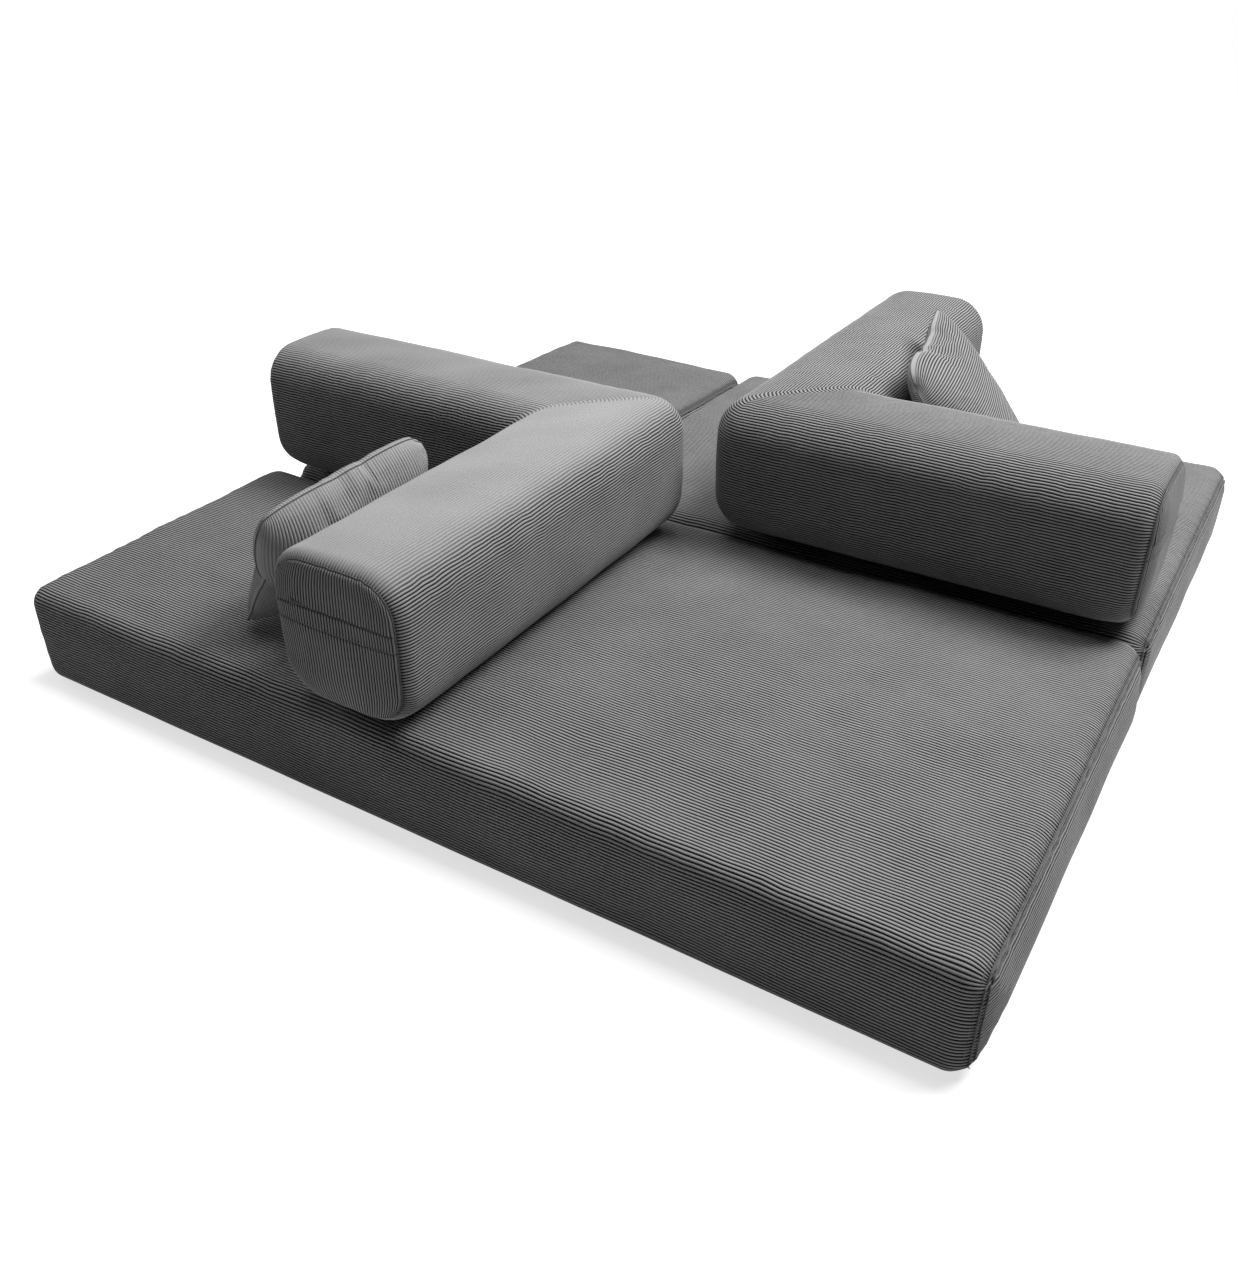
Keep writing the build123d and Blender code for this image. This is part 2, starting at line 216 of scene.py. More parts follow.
class Value:
    # wraps a node socket, so that values are combined with plain operators
    def __init__(self, tree, socket):
        self.tree, self.socket = tree, socket

    def math(self, operation, other=None, first=None):
        node = self.tree.nodes.new("ShaderNodeMath")
        node.operation = operation
        pair = (self, other) if first is None else (first, self)
        for slot, value in enumerate(pair):
            if isinstance(value, Value):
                self.tree.links.new(value.socket, node.inputs[slot])
            elif value is not None:
                node.inputs[slot].default_value = value
        return Value(self.tree, node.outputs[0])

    def clamp(self):
        return self.math("MINIMUM", 1.0).math("MAXIMUM", 0.0)

    def __add__(self, other):
        return self.math("ADD", other)

    def __radd__(self, other):
        return self.math("ADD", other)

    def __sub__(self, other):
        return self.math("SUBTRACT", other)

    def __rsub__(self, other):
        return self.math("SUBTRACT", first=other)

    def __mul__(self, other):
        return self.math("MULTIPLY", other)

    def __rmul__(self, other):
        return self.math("MULTIPLY", other)

    def __truediv__(self, other):
        return self.math("DIVIDE", other)

    def __rtruediv__(self, other):
        return self.math("DIVIDE", first=other)


# geometry trees
def newTree(name, **sockets):
    tree = bpy.data.node_groups.new(name, "GeometryNodeTree")
    new = tree.interface.new_socket
    new("Geometry", in_out="INPUT", socket_type="NodeSocketGeometry")
    for label, kind in sockets.items():
        new(label, in_out="INPUT", socket_type="NodeSocket" + kind)
    new("Geometry", in_out="OUTPUT", socket_type="NodeSocketGeometry")
    return tree, tree.nodes.new("NodeGroupInput"), tree.nodes.new("NodeGroupOutput")


def closeTree(tree, geometry, start, end):
    # real geometry in its own finish
    link = tree.links.new
    real = tree.nodes.new("GeometryNodeRealizeInstances")
    paint = tree.nodes.new("GeometryNodeSetMaterial")
    link(geometry, real.inputs["Geometry"])
    link(real.outputs["Geometry"], paint.inputs["Geometry"])
    link(start.outputs["Finish"], paint.inputs["Material"])
    link(paint.outputs["Geometry"], end.inputs["Geometry"])
    return tree


def readAttribute(tree, name):
    node = tree.nodes.new("GeometryNodeInputNamedAttribute")
    node.data_type = "FLOAT"
    node.inputs["Name"].default_value = name
    return Value(tree, node.outputs["Attribute"])


def makeRibTree():
    # raises the cords: round crests and narrow grooves that follow the cloth's own coordinate
    tree, start, end = newTree("raiseCords", Pitch="Float", Depth="Float", Finish="Material")
    link = tree.links.new
    pitch, depth = (Value(tree, start.outputs[label]) for label in ("Pitch", "Depth"))
    across, mask = readAttribute(tree, "across"), readAttribute(tree, "cordMask")
    side = (across / pitch).math("FRACT") * 2.0 - 1.0
    crest = (1.0 - side * side).math("MAXIMUM", 0.0).math("SQRT")
    lift = (crest - island["cordMean"]) * depth * mask
    shown = crest * mask + (1.0 - mask)
    normal = tree.nodes.new("GeometryNodeInputNormal")
    scale = tree.nodes.new("ShaderNodeVectorMath")
    scale.operation = "SCALE"
    link(normal.outputs["Normal"], scale.inputs[0])
    link(lift.socket, scale.inputs["Scale"])
    keep = tree.nodes.new("GeometryNodeStoreNamedAttribute")
    keep.data_type = "FLOAT"
    keep.domain = "POINT"
    keep.inputs["Name"].default_value = "crest"
    link(start.outputs["Geometry"], keep.inputs["Geometry"])
    link(shown.socket, keep.inputs["Value"])
    move = tree.nodes.new("GeometryNodeSetPosition")
    link(keep.outputs["Geometry"], move.inputs["Geometry"])
    link(scale.outputs["Vector"], move.inputs["Offset"])
    return closeTree(tree, move.outputs["Geometry"], start, end)


def makeWeltTree():
    # sweeps a round cord of cloth along a path of edges
    tree, start, end = newTree("sweepWelt", Radius="Float", Finish="Material")
    link = tree.links.new
    curve = tree.nodes.new("GeometryNodeMeshToCurve")
    circle = tree.nodes.new("GeometryNodeCurvePrimitiveCircle")
    circle.inputs["Resolution"].default_value = 8
    sweep = tree.nodes.new("GeometryNodeCurveToMesh")
    sweep.inputs["Fill Caps"].default_value = True
    soft = tree.nodes.new("GeometryNodeSetShadeSmooth")
    link(start.outputs["Geometry"], curve.inputs["Mesh"])
    link(curve.outputs["Curve"], sweep.inputs["Curve"])
    link(start.outputs["Radius"], circle.inputs["Radius"])
    link(circle.outputs["Curve"], sweep.inputs["Profile Curve"])
    link(sweep.outputs["Mesh"], soft.inputs["Geometry"])
    return closeTree(tree, soft.outputs["Geometry"], start, end)


def makeStitchTree():
    # lays short thread stitches end to end along a path of edges
    sizes = {"Spacing": "Float", "Length": "Float", "Thread": "Float"}
    tree, start, end = newTree("layStitches", **sizes, Finish="Material")
    link = tree.links.new
    curve = tree.nodes.new("GeometryNodeMeshToCurve")
    spread = tree.nodes.new("GeometryNodeResampleCurve")
    spread.mode = "LENGTH"
    link(start.outputs["Geometry"], curve.inputs["Mesh"])
    link(curve.outputs["Curve"], spread.inputs["Curve"])
    link(start.outputs["Spacing"], spread.inputs["Length"])
    bead = tree.nodes.new("GeometryNodeMeshUVSphere")
    bead.inputs["Segments"].default_value = 6
    bead.inputs["Rings"].default_value = 4
    bead.inputs["Radius"].default_value = 1.0
    soft = tree.nodes.new("GeometryNodeSetShadeSmooth")
    link(bead.outputs["Mesh"], soft.inputs["Geometry"])
    size = tree.nodes.new("ShaderNodeCombineXYZ")
    thin = Value(tree, start.outputs["Thread"]) * 0.5
    half = Value(tree, start.outputs["Length"]) * 0.5
    for value, axis in ((thin, "X"), (thin, "Y"), (half, "Z")):
        link(value.socket, size.inputs[axis])
    shape = tree.nodes.new("GeometryNodeTransform")
    link(soft.outputs["Geometry"], shape.inputs["Geometry"])
    link(size.outputs["Vector"], shape.inputs["Scale"])
    tangent = tree.nodes.new("GeometryNodeInputTangent")
    turn = tree.nodes.new("FunctionNodeAlignRotationToVector")
    turn.axis = "Z"
    link(tangent.outputs["Tangent"], turn.inputs["Vector"])
    place = tree.nodes.new("GeometryNodeInstanceOnPoints")
    link(spread.outputs["Curve"], place.inputs["Points"])
    link(shape.outputs["Geometry"], place.inputs["Instance"])
    link(turn.outputs["Rotation"], place.inputs["Rotation"])
    return closeTree(tree, place.outputs["Instances"], start, end)


ribTree, weltTree, stitchTree = makeRibTree(), makeWeltTree(), makeStitchTree()


def pathMesh(name, paths):
    # one object of loose edge paths; a path is (points, closed)
    verts, edges = [], []
    for points, closed in paths:
        base = len(verts)
        verts += [tuple(p) for p in points]
        edges += [(base + k, base + k + 1) for k in range(len(points) - 1)]
        if closed:
            edges.append((base + len(points) - 1, base))
    mesh = bpy.data.meshes.new(name)
    mesh.from_pydata(verts, edges, [])
    return addObject(name, mesh)


def raiseCords(piece, depth, pitch):
    return bakeTree(piece, ribTree, {"Pitch": pitch, "Depth": depth, "Finish": cord})


def makeWelt(name, paths, radius):
    return bakeTree(pathMesh(name, paths), weltTree, {"Radius": radius, "Finish": seamEdge})


def makeStitches(name, paths, stitch):
    spacing, length, thickness = stitch
    values = {"Spacing": spacing, "Length": length, "Thread": thickness, "Finish": thread}
    return bakeTree(pathMesh(name, paths), stitchTree, values)


# materials
class Paint:
    # a material under construction
    def __init__(self, name, roughness=0.9, sheen=0.0, sheenRoughness=0.5, specular=0.25):
        self.material = bpy.data.materials.new(name)
        self.material.use_nodes = True
        self.tree = self.material.node_tree
        self.shader = self.tree.nodes["Principled BSDF"]
        self.set(Roughness=roughness, Sheen_Weight=sheen, Sheen_Roughness=sheenRoughness)
        self.set(Specular_IOR_Level=specular)

    def set(self, **values):
        for name, value in values.items():
            self.shader.inputs[name.replace("_", " ")].default_value = value

    def node(self, kind, settings=None, **values):
        # settings first, then the sockets, by name or as _number
        node = self.tree.nodes.new(kind)
        for name, value in (settings or {}).items():
            setattr(node, name, value)
        for name, value in values.items():
            socket = node.inputs[int(name[1:]) if name[0] == "_" else name.replace("_", " ")]
            if isinstance(value, Value):
                self.tree.links.new(value.socket, socket)
            else:
                socket.default_value = value
        return node

    def out(self, node, name=0):
        return Value(self.tree, node.outputs[name])

    def link(self, value, name):
        self.tree.links.new(value.socket, self.shader.inputs[name])

    def objectPlace(self):
        return self.out(self.node("ShaderNodeTexCoord"), "Object")

    def attribute(self, name):
        return self.out(self.node("ShaderNodeAttribute", {"attribute_name": name}), "Fac")

    def noise(self, place, scale, detail=2.0):
        return self.out(self.node("ShaderNodeTexNoise", Vector=place, Scale=scale, Detail=detail))

    def color(self, factor, low, high):
        # a blend of two colours, the first of which may come from another node
        low = low if isinstance(low, Value) else (*low, 1)
        kind = {"data_type": "RGBA"}
        return self.out(self.node("ShaderNodeMix", kind, _0=factor, _6=low, _7=(*high, 1)), 2)

    def bump(self, height, strength, distance):
        sizes = {"Strength": strength, "Distance": distance}
        self.link(self.out(self.node("ShaderNodeBump", Height=height, **sizes)), "Normal")


cordPaint = {
    # the groove's near-black is partly the pile's real darker colour down in the groove, partly
    # painted shade in the groove
    "groove": (0.005, 0.005, 0.005),
    "crest": (0.352, 0.350, 0.351),
    "lightNap": (0.390, 0.388, 0.390),
    "worn": (0.370, 0.368, 0.370),  # painted highlight: the paler colour that the painted light lifts the cord toward
    "sheen": 0.06,
    "sheenRoughness": 0.42,
    "dark": 0.67,  # up to this share of a cord's height the groove's colour holds
    "rise": 3.2,  # how fast the crest's colour comes in above it
    "streakSize": (55.0, 420.0, 1.0),  # per metre along and across the cords
    "streak": (0.72, 0.5),  # the least tone, and what a streak adds to it
    "patch": (0.22, 0.5),  # where patches of pile start to lie light, and how much
    "fuzz": 0.9,
    "roughness": (0.95, 0.12),  # in the groove, and how much less on the crest
    "bump": (0.35, 1.2 * mm),
}


def makeCordMaterial():
    look = cordPaint
    paint = Paint("corduroy", 0.88, look["sheen"], look["sheenRoughness"], 0.12)
    uv = paint.out(paint.node("ShaderNodeUVMap", {"uv_map": "cord"}))
    crest, worn = paint.attribute("crest"), paint.attribute("worn")
    place = paint.objectPlace()
    stretched = paint.out(paint.node("ShaderNodeMapping", Vector=uv, Scale=look["streakSize"]))
    streak = paint.noise(stretched, 1.0, 3.0)
    patch, fuzz = paint.noise(place, 9.0, 3.0), paint.noise(place, 900.0)
    tone = (crest - look["dark"]) * look["rise"] * (look["streak"][0] + streak * look["streak"][1])
    # low on the cord the colour goes to the groove's near-black: partly real darker pile, partly
    # painted shade in the groove
    base = paint.color(tone.clamp(), look["groove"], look["crest"])
    nap = (patch - look["patch"][0]) * look["patch"][1] + (fuzz - 0.5) * look["fuzz"]
    pile = paint.color(nap.clamp() * crest, base, look["lightNap"])
    # above nought the value is painted light: the cord is lifted toward a paler colour, on the
    # bolsters' up-facing tops and over the left pillow
    paintedLighting = paint.color(worn, pile, look["worn"])
    # below nought the value is painted shade: the cord darkens toward the groove colour beside a
    # seam and under the slot's lip
    shade = (worn * -1.0).math("MAXIMUM", 0.0)
    paint.link(paint.color(shade, paintedLighting, look["groove"]), "Base Color")
    paint.link(look["roughness"][0] - crest * look["roughness"][1], "Roughness")
    paint.bump(fuzz * 0.6 + streak * 0.8, *look["bump"])
    return paint.material


def makeSeamMaterial():
    # the turned edge of the cord at a seam: pile seen end on, paler than the grooves
    paint = Paint("seamEdge", 0.92, 0.3, 0.45, 0.12)
    nap = paint.noise(paint.objectPlace(), 260.0, 3.0)
    tone = paint.color((nap - 0.3) * 2.0, (0.075, 0.075, 0.076), (0.17, 0.169, 0.17))
    paint.link(tone, "Base Color")
    paint.bump(nap, 0.4, 1 * mm)
    return paint.material


def makeThreadMaterial():
    paint = Paint("seamThread", 0.7, 0.2)
    twist = paint.noise(paint.objectPlace(), 700.0)
    paint.link(paint.color(twist, (0.09, 0.09, 0.092), (0.2, 0.2, 0.202)), "Base Color")
    return paint.material


def makeUnderMaterial():
    paint = Paint("undersideCloth", 0.85)
    checker = paint.node("ShaderNodeTexChecker", Vector=paint.objectPlace(), Scale=900.0)
    weave = paint.color(paint.out(checker, "Fac"), (0.02, 0.02, 0.022), (0.045, 0.045, 0.047))
    paint.link(weave, "Base Color")
    return paint.material


def makeFoamMaterial(name, low, high):
    paint = Paint(name, 0.95)
    voronoi = paint.node("ShaderNodeTexVoronoi", Vector=paint.objectPlace(), Scale=420.0)
    cells = paint.out(voronoi, "Distance")
    paint.link(paint.color(cells.math("MINIMUM", 1.0), low, high), "Base Color")
    paint.bump(cells, 0.5, 1 * mm)
    return paint.material


def makeZipMaterial(name, color):
    paint = Paint(name, 0.5, specular=0.4)
    grain = paint.noise(paint.objectPlace(), 600.0)
    paint.link(paint.color(grain, color, tuple(c * 1.8 for c in color)), "Base Color")
    return paint.material


cord = makeCordMaterial()
seamEdge = makeSeamMaterial()
thread = makeThreadMaterial()
underCloth = makeUnderMaterial()
foamFirm = makeFoamMaterial("firmFoam", (0.5, 0.48, 0.38), (0.82, 0.8, 0.68))
foamSoft = makeFoamMaterial("softFoam", (0.62, 0.61, 0.56), (0.9, 0.89, 0.84))
fillCase = makeFoamMaterial("fillCase", (0.75, 0.75, 0.73), (0.9, 0.9, 0.88))
zipTape = makeZipMaterial("zipTape", (0.02, 0.02, 0.02))
zipSlider = makeZipMaterial("zipSlider", (0.03, 0.03, 0.032))
print("materials made")


# upholstered sections
sectionSteps = {"arc": 14, "side": 24, "top": 60, "length": 2 * mm, "smoothing": 3}


class Section:
    # closed outline of a block's section: d across from the near side, z up, walked from the
    # near base corner up the near side, over the top and down the far side
    def __init__(self, depth, look, height, crownDepth=None):
        inset, bulge, steps = island["skinInset"], look["bulge"], sectionSteps
        near, far, middle = inset, depth - inset, (crownDepth or depth) / 2
        rTop, rTopFar, rBaseFar, rBase = (radius - inset for radius in look["rounds"])

        def top(d):
            return height - inset - look["crown"] * ((d - middle) / middle) ** 2

        def lean(z):
            return bulge * ((z - height / 2) / (height / 2)) ** 2

        points, marks = [], []

        def arc(d, z, radius, start):
            # a quarter turn back from the start angle, marked at its middle
            marks.append(len(points) + steps["arc"] // 2)
            for k in range(steps["arc"] + 1):
                a = math.radians(start - 90 * k / steps["arc"])
                points.append((d + radius * math.cos(a), z + radius * math.sin(a)))

        arc(near + lean(rBase) + rBase, inset + rBase, rBase, 270)
        high = top(near + bulge) - rTop
        for k in range(1, steps["side"]):
            z = inset + rBase + (high - inset - rBase) * k / steps["side"]
            points.append((near + lean(z), z))
        arc(near + lean(high) + rTop, high, rTop, 180)
        farHigh = top(far - bulge) - rTopFar
        d0, d1 = near + lean(high) + rTop, far - lean(farHigh) - rTopFar
        miss0, miss1 = top(d0) - (high + rTop), top(d1) - (farHigh + rTopFar)
        for k in range(1, steps["top"]):
            t = k / steps["top"]
            d = d0 + (d1 - d0) * t
            points.append((d, top(d) - miss0 * (1 - t) - miss1 * t))
        arc(d1, farHigh, rTopFar, 90)
        for k in range(1, steps["side"]):
            z = farHigh - (farHigh - inset - rBaseFar) * k / steps["side"]
            points.append((far - lean(z), z))
        arc(far - lean(rBaseFar) - rBaseFar, inset + rBaseFar, rBaseFar, 0)
        points = np.array(points)
        step = np.r_[0, np.cumsum(np.hypot(*np.diff(points, axis=0).T))]
        self.marks, self.length = [step[k] for k in marks], step[-1]
        self.s = np.linspace(0, self.length, int(self.length / steps["length"]))
        self.d, self.z = (np.interp(self.s, step, points[:, k]) for k in (0, 1))
        tangent = np.gradient(np.stack([self.d, self.z], axis=1), self.s, axis=0)
        for _ in range(steps["smoothing"]):
            tangent[1:-1] = (tangent[:-2] + tangent[1:-1] * 2 + tangent[2:]) / 4
        tangent /= np.hypot(*tangent.T)[:, None]
        self.nd, self.nz = -tangent[:, 1], tangent[:, 0]

    def at(self, s):
        return tuple(np.interp(s, self.s, values) for values in (self.d, self.z, self.nd, self.nz))


def roundedDrop(offset, radius):
    # how far a rounded edge has dropped, offset past the start of its round
    t = np.clip(offset, 0, radius * 0.999)
    return radius - np.sqrt(radius**2 - t**2)


def coons(bottom, top, left, right, us, vs):
    u, v = us[None, :, None], vs[:, None, None]
    flat = (1 - v) * bottom[None] + v * top[None] + (1 - u) * left[:, None] + u * right[:, None]
    p00, p10, p01, p11 = bottom[0], bottom[-1], top[0], top[-1]
    return flat - ((1 - u) * (1 - v) * p00 + u * (1 - v) * p10 + (1 - u) * v * p01 + u * v * p11)


def distanceTo(points, loop):
    flat = points.reshape(-1, 2)
    best = np.full(len(flat), 1e9)
    a, b = loop, np.roll(loop, -1, axis=0)
    for p, q in zip(a, b):
        edge = q - p
        size = edge @ edge
        if size < 1e-14:
            continue
        t = np.clip(((flat - p) @ edge) / size, 0, 1)
        best = np.minimum(best, np.hypot(*(flat - p - t[:, None] * edge).T))
    return best.reshape(points.shape[:-1])


def panelGrid(section, border, us, vs):
    # a flat end panel inside the border curve: rows vs go up, columns us go across
    nearFoot, nearTop, farTop, farFoot = section.marks

    def walk(values):
        return np.stack(border(values), axis=-1)

    near = walk(nearFoot + (nearTop - nearFoot) * vs)
    far = walk(farFoot + (farTop - farFoot) * vs)
    over = walk(nearTop + (farTop - nearTop) * us)
    first, last = walk(np.array([0.0]))[0], walk(np.array([section.length]))[0]
    base = np.hypot(*(last - first))
    total = nearFoot + base + (section.length - farFoot)
    under = []
    for u in us:
        t = u * total
        if t < nearFoot:
            under.append(walk(np.array([nearFoot - t]))[0])
        elif t < nearFoot + base:
            under.append(first + (last - first) * (t - nearFoot) / base)
        else:
            under.append(walk(np.array([section.length - (t - nearFoot - base)]))[0])
    grid = coons(np.array(under), over, near, far, us, vs)
    return grid, distanceTo(grid, walk(np.linspace(0, section.length, 260)))


def rollOut(distance, radius, start):
    # a rounded edge seen from its panel: how far the panel has come out at this distance
    reach = radius * math.cos(start)
    t = np.clip(reach - distance, 0, reach)
    return np.sqrt(radius**2 - t**2) - radius * math.sin(start)


def bell(x, reach):
    return np.exp(-((x / reach) ** 2))


# platforms; the last number of each soft noise is its length in metres
platformLook = {
    "rounds": (34 * mm, 34 * mm, 22 * mm, 22 * mm),
    "bulge": 4 * mm,
    "crown": 7 * mm,
    "sideRound": 44 * mm,
    "seamInset": 11 * mm,
    "wave": 1.6 * mm,
    "wobble": 1.3 * mm,
    "fineWobble": 0.5 * mm,
    "slackReach": 60 * mm,  # from the seam, over this the cords get free to wander
    "pucker": 0.9 * mm,
    "puckerReach": 16 * mm,
    "columnStep": 30 * mm,
    "fineColumns": (48 * mm, 4 * mm),  # near a seam: over how far, and their step
    "panelStep": 0.022,
    "panelFine": (0.03, 0.0025),
    "panelSink": 0.9 * mm,
    "seamShade": (0.85, 3 * mm),  # how dark, over how far
    "topstitch": (8 * mm, 1.6 * mm),  # a line of painted shade in the panel where the topstitch sinks the cloth: from the seam, half its width
    "weltRadius": 1.5 * mm,
    "ridges": ((0.0, 0.3 * mm), (5.0 * mm, 0.0)),  # the seam's two raised lines: out past it, lift
    "stitchLine": (-6.5 * mm, 0.9 * mm),
    "stitch": (5.5 * mm, 4.2 * mm, 1.1 * mm),  # one to the next, length, thickness
    "footLevel": 36 * mm,  # seams aren't drawn below it
}


def endDrop(x, width):
    # inward move of the wrap near its two side seams
    reach = platformLook["sideRound"]
    return roundedDrop(reach - x, reach) + roundedDrop(x - (width - reach), reach)


def wrapPoints(section, x, s, width, seed):
    look = platformLook
    x, s = np.broadcast_arrays(x, s)
    toSeam = np.minimum(x - look["seamInset"], width - look["seamInset"] - x)
    slack = smooth(toSeam, 0, look["slackReach"])
    moved = s + look["wobble"] * slack * softNoise(x, s, seed, 0.22)
    moved = moved + look["fineWobble"] * softNoise(x, s, seed + 1, 0.06)
    d, z, nd, nz = section.at(np.clip(moved, 0, section.length))
    drop = endDrop(x, width) * (np.abs(nd) + np.abs(nz)) / np.maximum(np.hypot(nd, nz), 1e-6)
    lift = look["wave"] * softNoise(x, s, seed + 2, 0.30)
    lift = lift + 0.35 * look["wave"] * softNoise(x, s, seed + 3, 0.09)
    near = np.exp(-toSeam / look["puckerReach"])
    lift = lift + look["pucker"] * near * softNoise(s, x * 0.2, seed + 4, 0.024)
    base = smooth(z, 0, 30 * mm)
    push = lift * base - drop
    return x, d + nd * push, np.maximum(z + nz * push, 0.0), base


def shownPart(path, nz):
    # the part of a closed loop that doesn't face the floor: from one foot up and over to the other
    shown = (nz >= -0.5) & (path[:, 2] > platformLook["footLevel"])
    under = np.flatnonzero(~shown)
    if len(under) == 0:
        return path
    last = under[np.argmax(np.diff(np.append(under, under[0] + len(path))) > 1)]
    order = (np.arange(len(path)) + last + 1) % len(path)
    return path[order][shown[order]]


def stepWall(stepX, stepDepth, depth, height):
    # the hidden wall where the back edge steps forward
    levels = np.linspace(0.02, 0.98, 12)[:, None] * (height - 20 * mm)
    reach = np.linspace(stepDepth - 30 * mm, depth - 8 * mm, 9)[None, :]
    return np.stack(np.broadcast_arrays(stepX, reach, levels), axis=-1)


def sidePanel(part, border, seamX, sign, swell, seed):
    # a side's grid with its place across the cords, its foot and its shaded lines
    look = platformLook
    rise = island["height"] - 12 * mm
    vs = cordRows(rise, island["pitch"]) / rise
    us = stations(0, 1, look["panelStep"], (look["panelFine"], look["panelFine"]))
    grid, dist = panelGrid(part, border, us, vs)
    d, z = grid[..., 0], grid[..., 1]
    start = math.asin((look["sideRound"] - look["seamInset"]) / look["sideRound"])
    out = rollOut(dist, look["sideRound"], start) - 0.8 * mm
    slack = smooth(dist, 0, 50 * mm)
    out = out + look["wave"] * 0.8 * slack * softNoise(d, z, seed + 7, 0.28)
    near = np.exp(-dist / (14 * mm))
    out = out + look["pucker"] * near * softNoise(d, z, seed + 8, 0.026) - look["panelSink"]
    x = seamX + sign * (out + swell * smooth(dist, 5 * mm, 90 * mm))
    base = smooth(z, 0, 22 * mm) * smooth(dist, 0, 3 * mm)
    sewnAt, wide = look["topstitch"]
    # painted shade: dark along the seam and along the topstitch line
    line = np.exp(-dist / (2.5 * mm)) + 0.9 * bell(dist - sewnAt, wide)
    shade = -look["seamShade"][0] * np.clip(line, 0, 1)
    return np.stack([x, d, z], axis=-1), (vs * rise)[:, None], d, base, shade


def buildPlatform(name, place, width, depth, seed, swells, step=None):
    # step: where along x, and at which depth, the back edge of the left part lies forward
    look, height, pitch = platformLook, island["height"], island["pitch"]
    seamA, seamB = look["seamInset"], width - look["seamInset"]
    fine, plain = look["fineColumns"], (0, 0)
    section = Section(depth, look, height)
    spans = ((section, seamA, seamB, (fine, fine)),)
    if step:
        short = Section(step[1], look, height, crownDepth=depth)
        spans = ((short, seamA, step[0], (fine, plain)), (section, step[0], seamB, (plain, fine)))
    wrap = Surface()
    dark, darkReach = look["seamShade"]
    for part, low, high, ends in spans:
        rows = cordRows(part.length, pitch)[:, None]
        xs = stations(low, high, look["columnStep"], ends)[None, :]
        x, d, z, base = wrapPoints(part, xs, rows, width, seed)
        # painted shade on the wrap beside each side seam
        shade = -dark * np.exp(-np.minimum(xs - seamA, seamB - xs) / darkReach)
        wrap.add(np.stack([x, d, z], axis=-1), rows, xs, base, shade, closeRows=True)
    if step:
        wrap.add(stepWall(*step, depth, height), 0.0, 0.0, 0.0)
    pieces = {"wrap": raiseCords(wrap.build(name + "CoverWrap", place), island["cordDepth"], pitch)}
    welts, stitches = [], []
    for side, part, seamX, sign, swell in (
        ("Left", spans[0][0], seamA, -1, swells[0]),
        ("Right", section, seamB, 1, swells[1]),
    ):
        loopS = np.linspace(0, part.length, 420)
        _, _, nd, nz = part.at(loopS)

        def seamLine(s, x=seamX, part=part):
            _, d, z, _ = wrapPoints(part, np.full_like(s, x), s, width, seed)
            return d, z

        def seamPath(out, lift):
            x0 = seamX + sign * out
            d, z = seamLine(loopS, min(max(x0, 1 * mm), width - 1 * mm))
            path = np.stack([np.full_like(loopS, x0), d + nd * lift, z + nz * lift], axis=1)
            return toWorld(shownPart(path, nz), place), False

        panel = Surface()
        panel.add(*sidePanel(part, seamLine, seamX, sign, swell, seed))
        piece = panel.build(name + "CoverSide" + side, place)
        orient(piece, place.to_3x3() @ Vector((sign, 0, 0)))
        pieces[side.lower()] = raiseCords(piece, island["cordDepth"], pitch)
        welts += [seamPath(*ridge) for ridge in look["ridges"]]
        stitches.append(seamPath(*look["stitchLine"]))
    pieces["welt"] = makeWelt(name + "SeamWelts", welts, look["weltRadius"])
    pieces["stitches"] = makeStitches(name + "SeamStitches", stitches, look["stitch"])
    print(name, "made")
    return pieces


# the plan of the three platforms in mm
plan = {"depth": 1850, "frontDepth": 940, "gap": 0.5, "stepX": 660, "stepY": 685, "askewSide": 30}
turn = math.radians(-1.8)
left, front = island["left"], island["front"]
askewDeep = plan["depth"] - plan["stepY"] - plan["gap"]
askewDepth = askewDeep / (math.cos(turn) - math.sin(turn) / 2) * mm
askewWide = (plan["stepX"] - plan["gap"] - plan["askewSide"]) * mm
askewWidth = (askewWide + askewDepth * math.sin(turn)) / math.cos(turn)
askewY = front + (plan["stepY"] + plan["gap"]) * mm - askewWidth * math.sin(turn)
rearRight = (left + plan["stepX"] * mm, front + (plan["frontDepth"] + plan["gap"]) * mm, 0)
platforms = {
    "front_platform": (
        placeMatrix(left, front, 0),
        island["width"],
        plan["frontDepth"] * mm,
        11,
        (4 * mm, 12 * mm),
        (plan["stepX"] * mm, plan["stepY"] * mm),
    ),
    "rear_right_platform": (placeMatrix(*rearRight), 1260 * mm, 909.5 * mm, 31, (2 * mm, 5 * mm)),
    "rear_left_platform": (
        placeMatrix(left + plan["askewSide"] * mm, askewY, 0, turn),
        askewWidth,
        askewDepth,
        51,
        (4 * mm, 2 * mm),
    ),
}


def pieceName(body):
    first, *others = body.split("_")
    return first + "".join(word.capitalize() for word in others)


dressed = {body: buildPlatform(pieceName(body), *sizes) for body, sizes in platforms.items()}


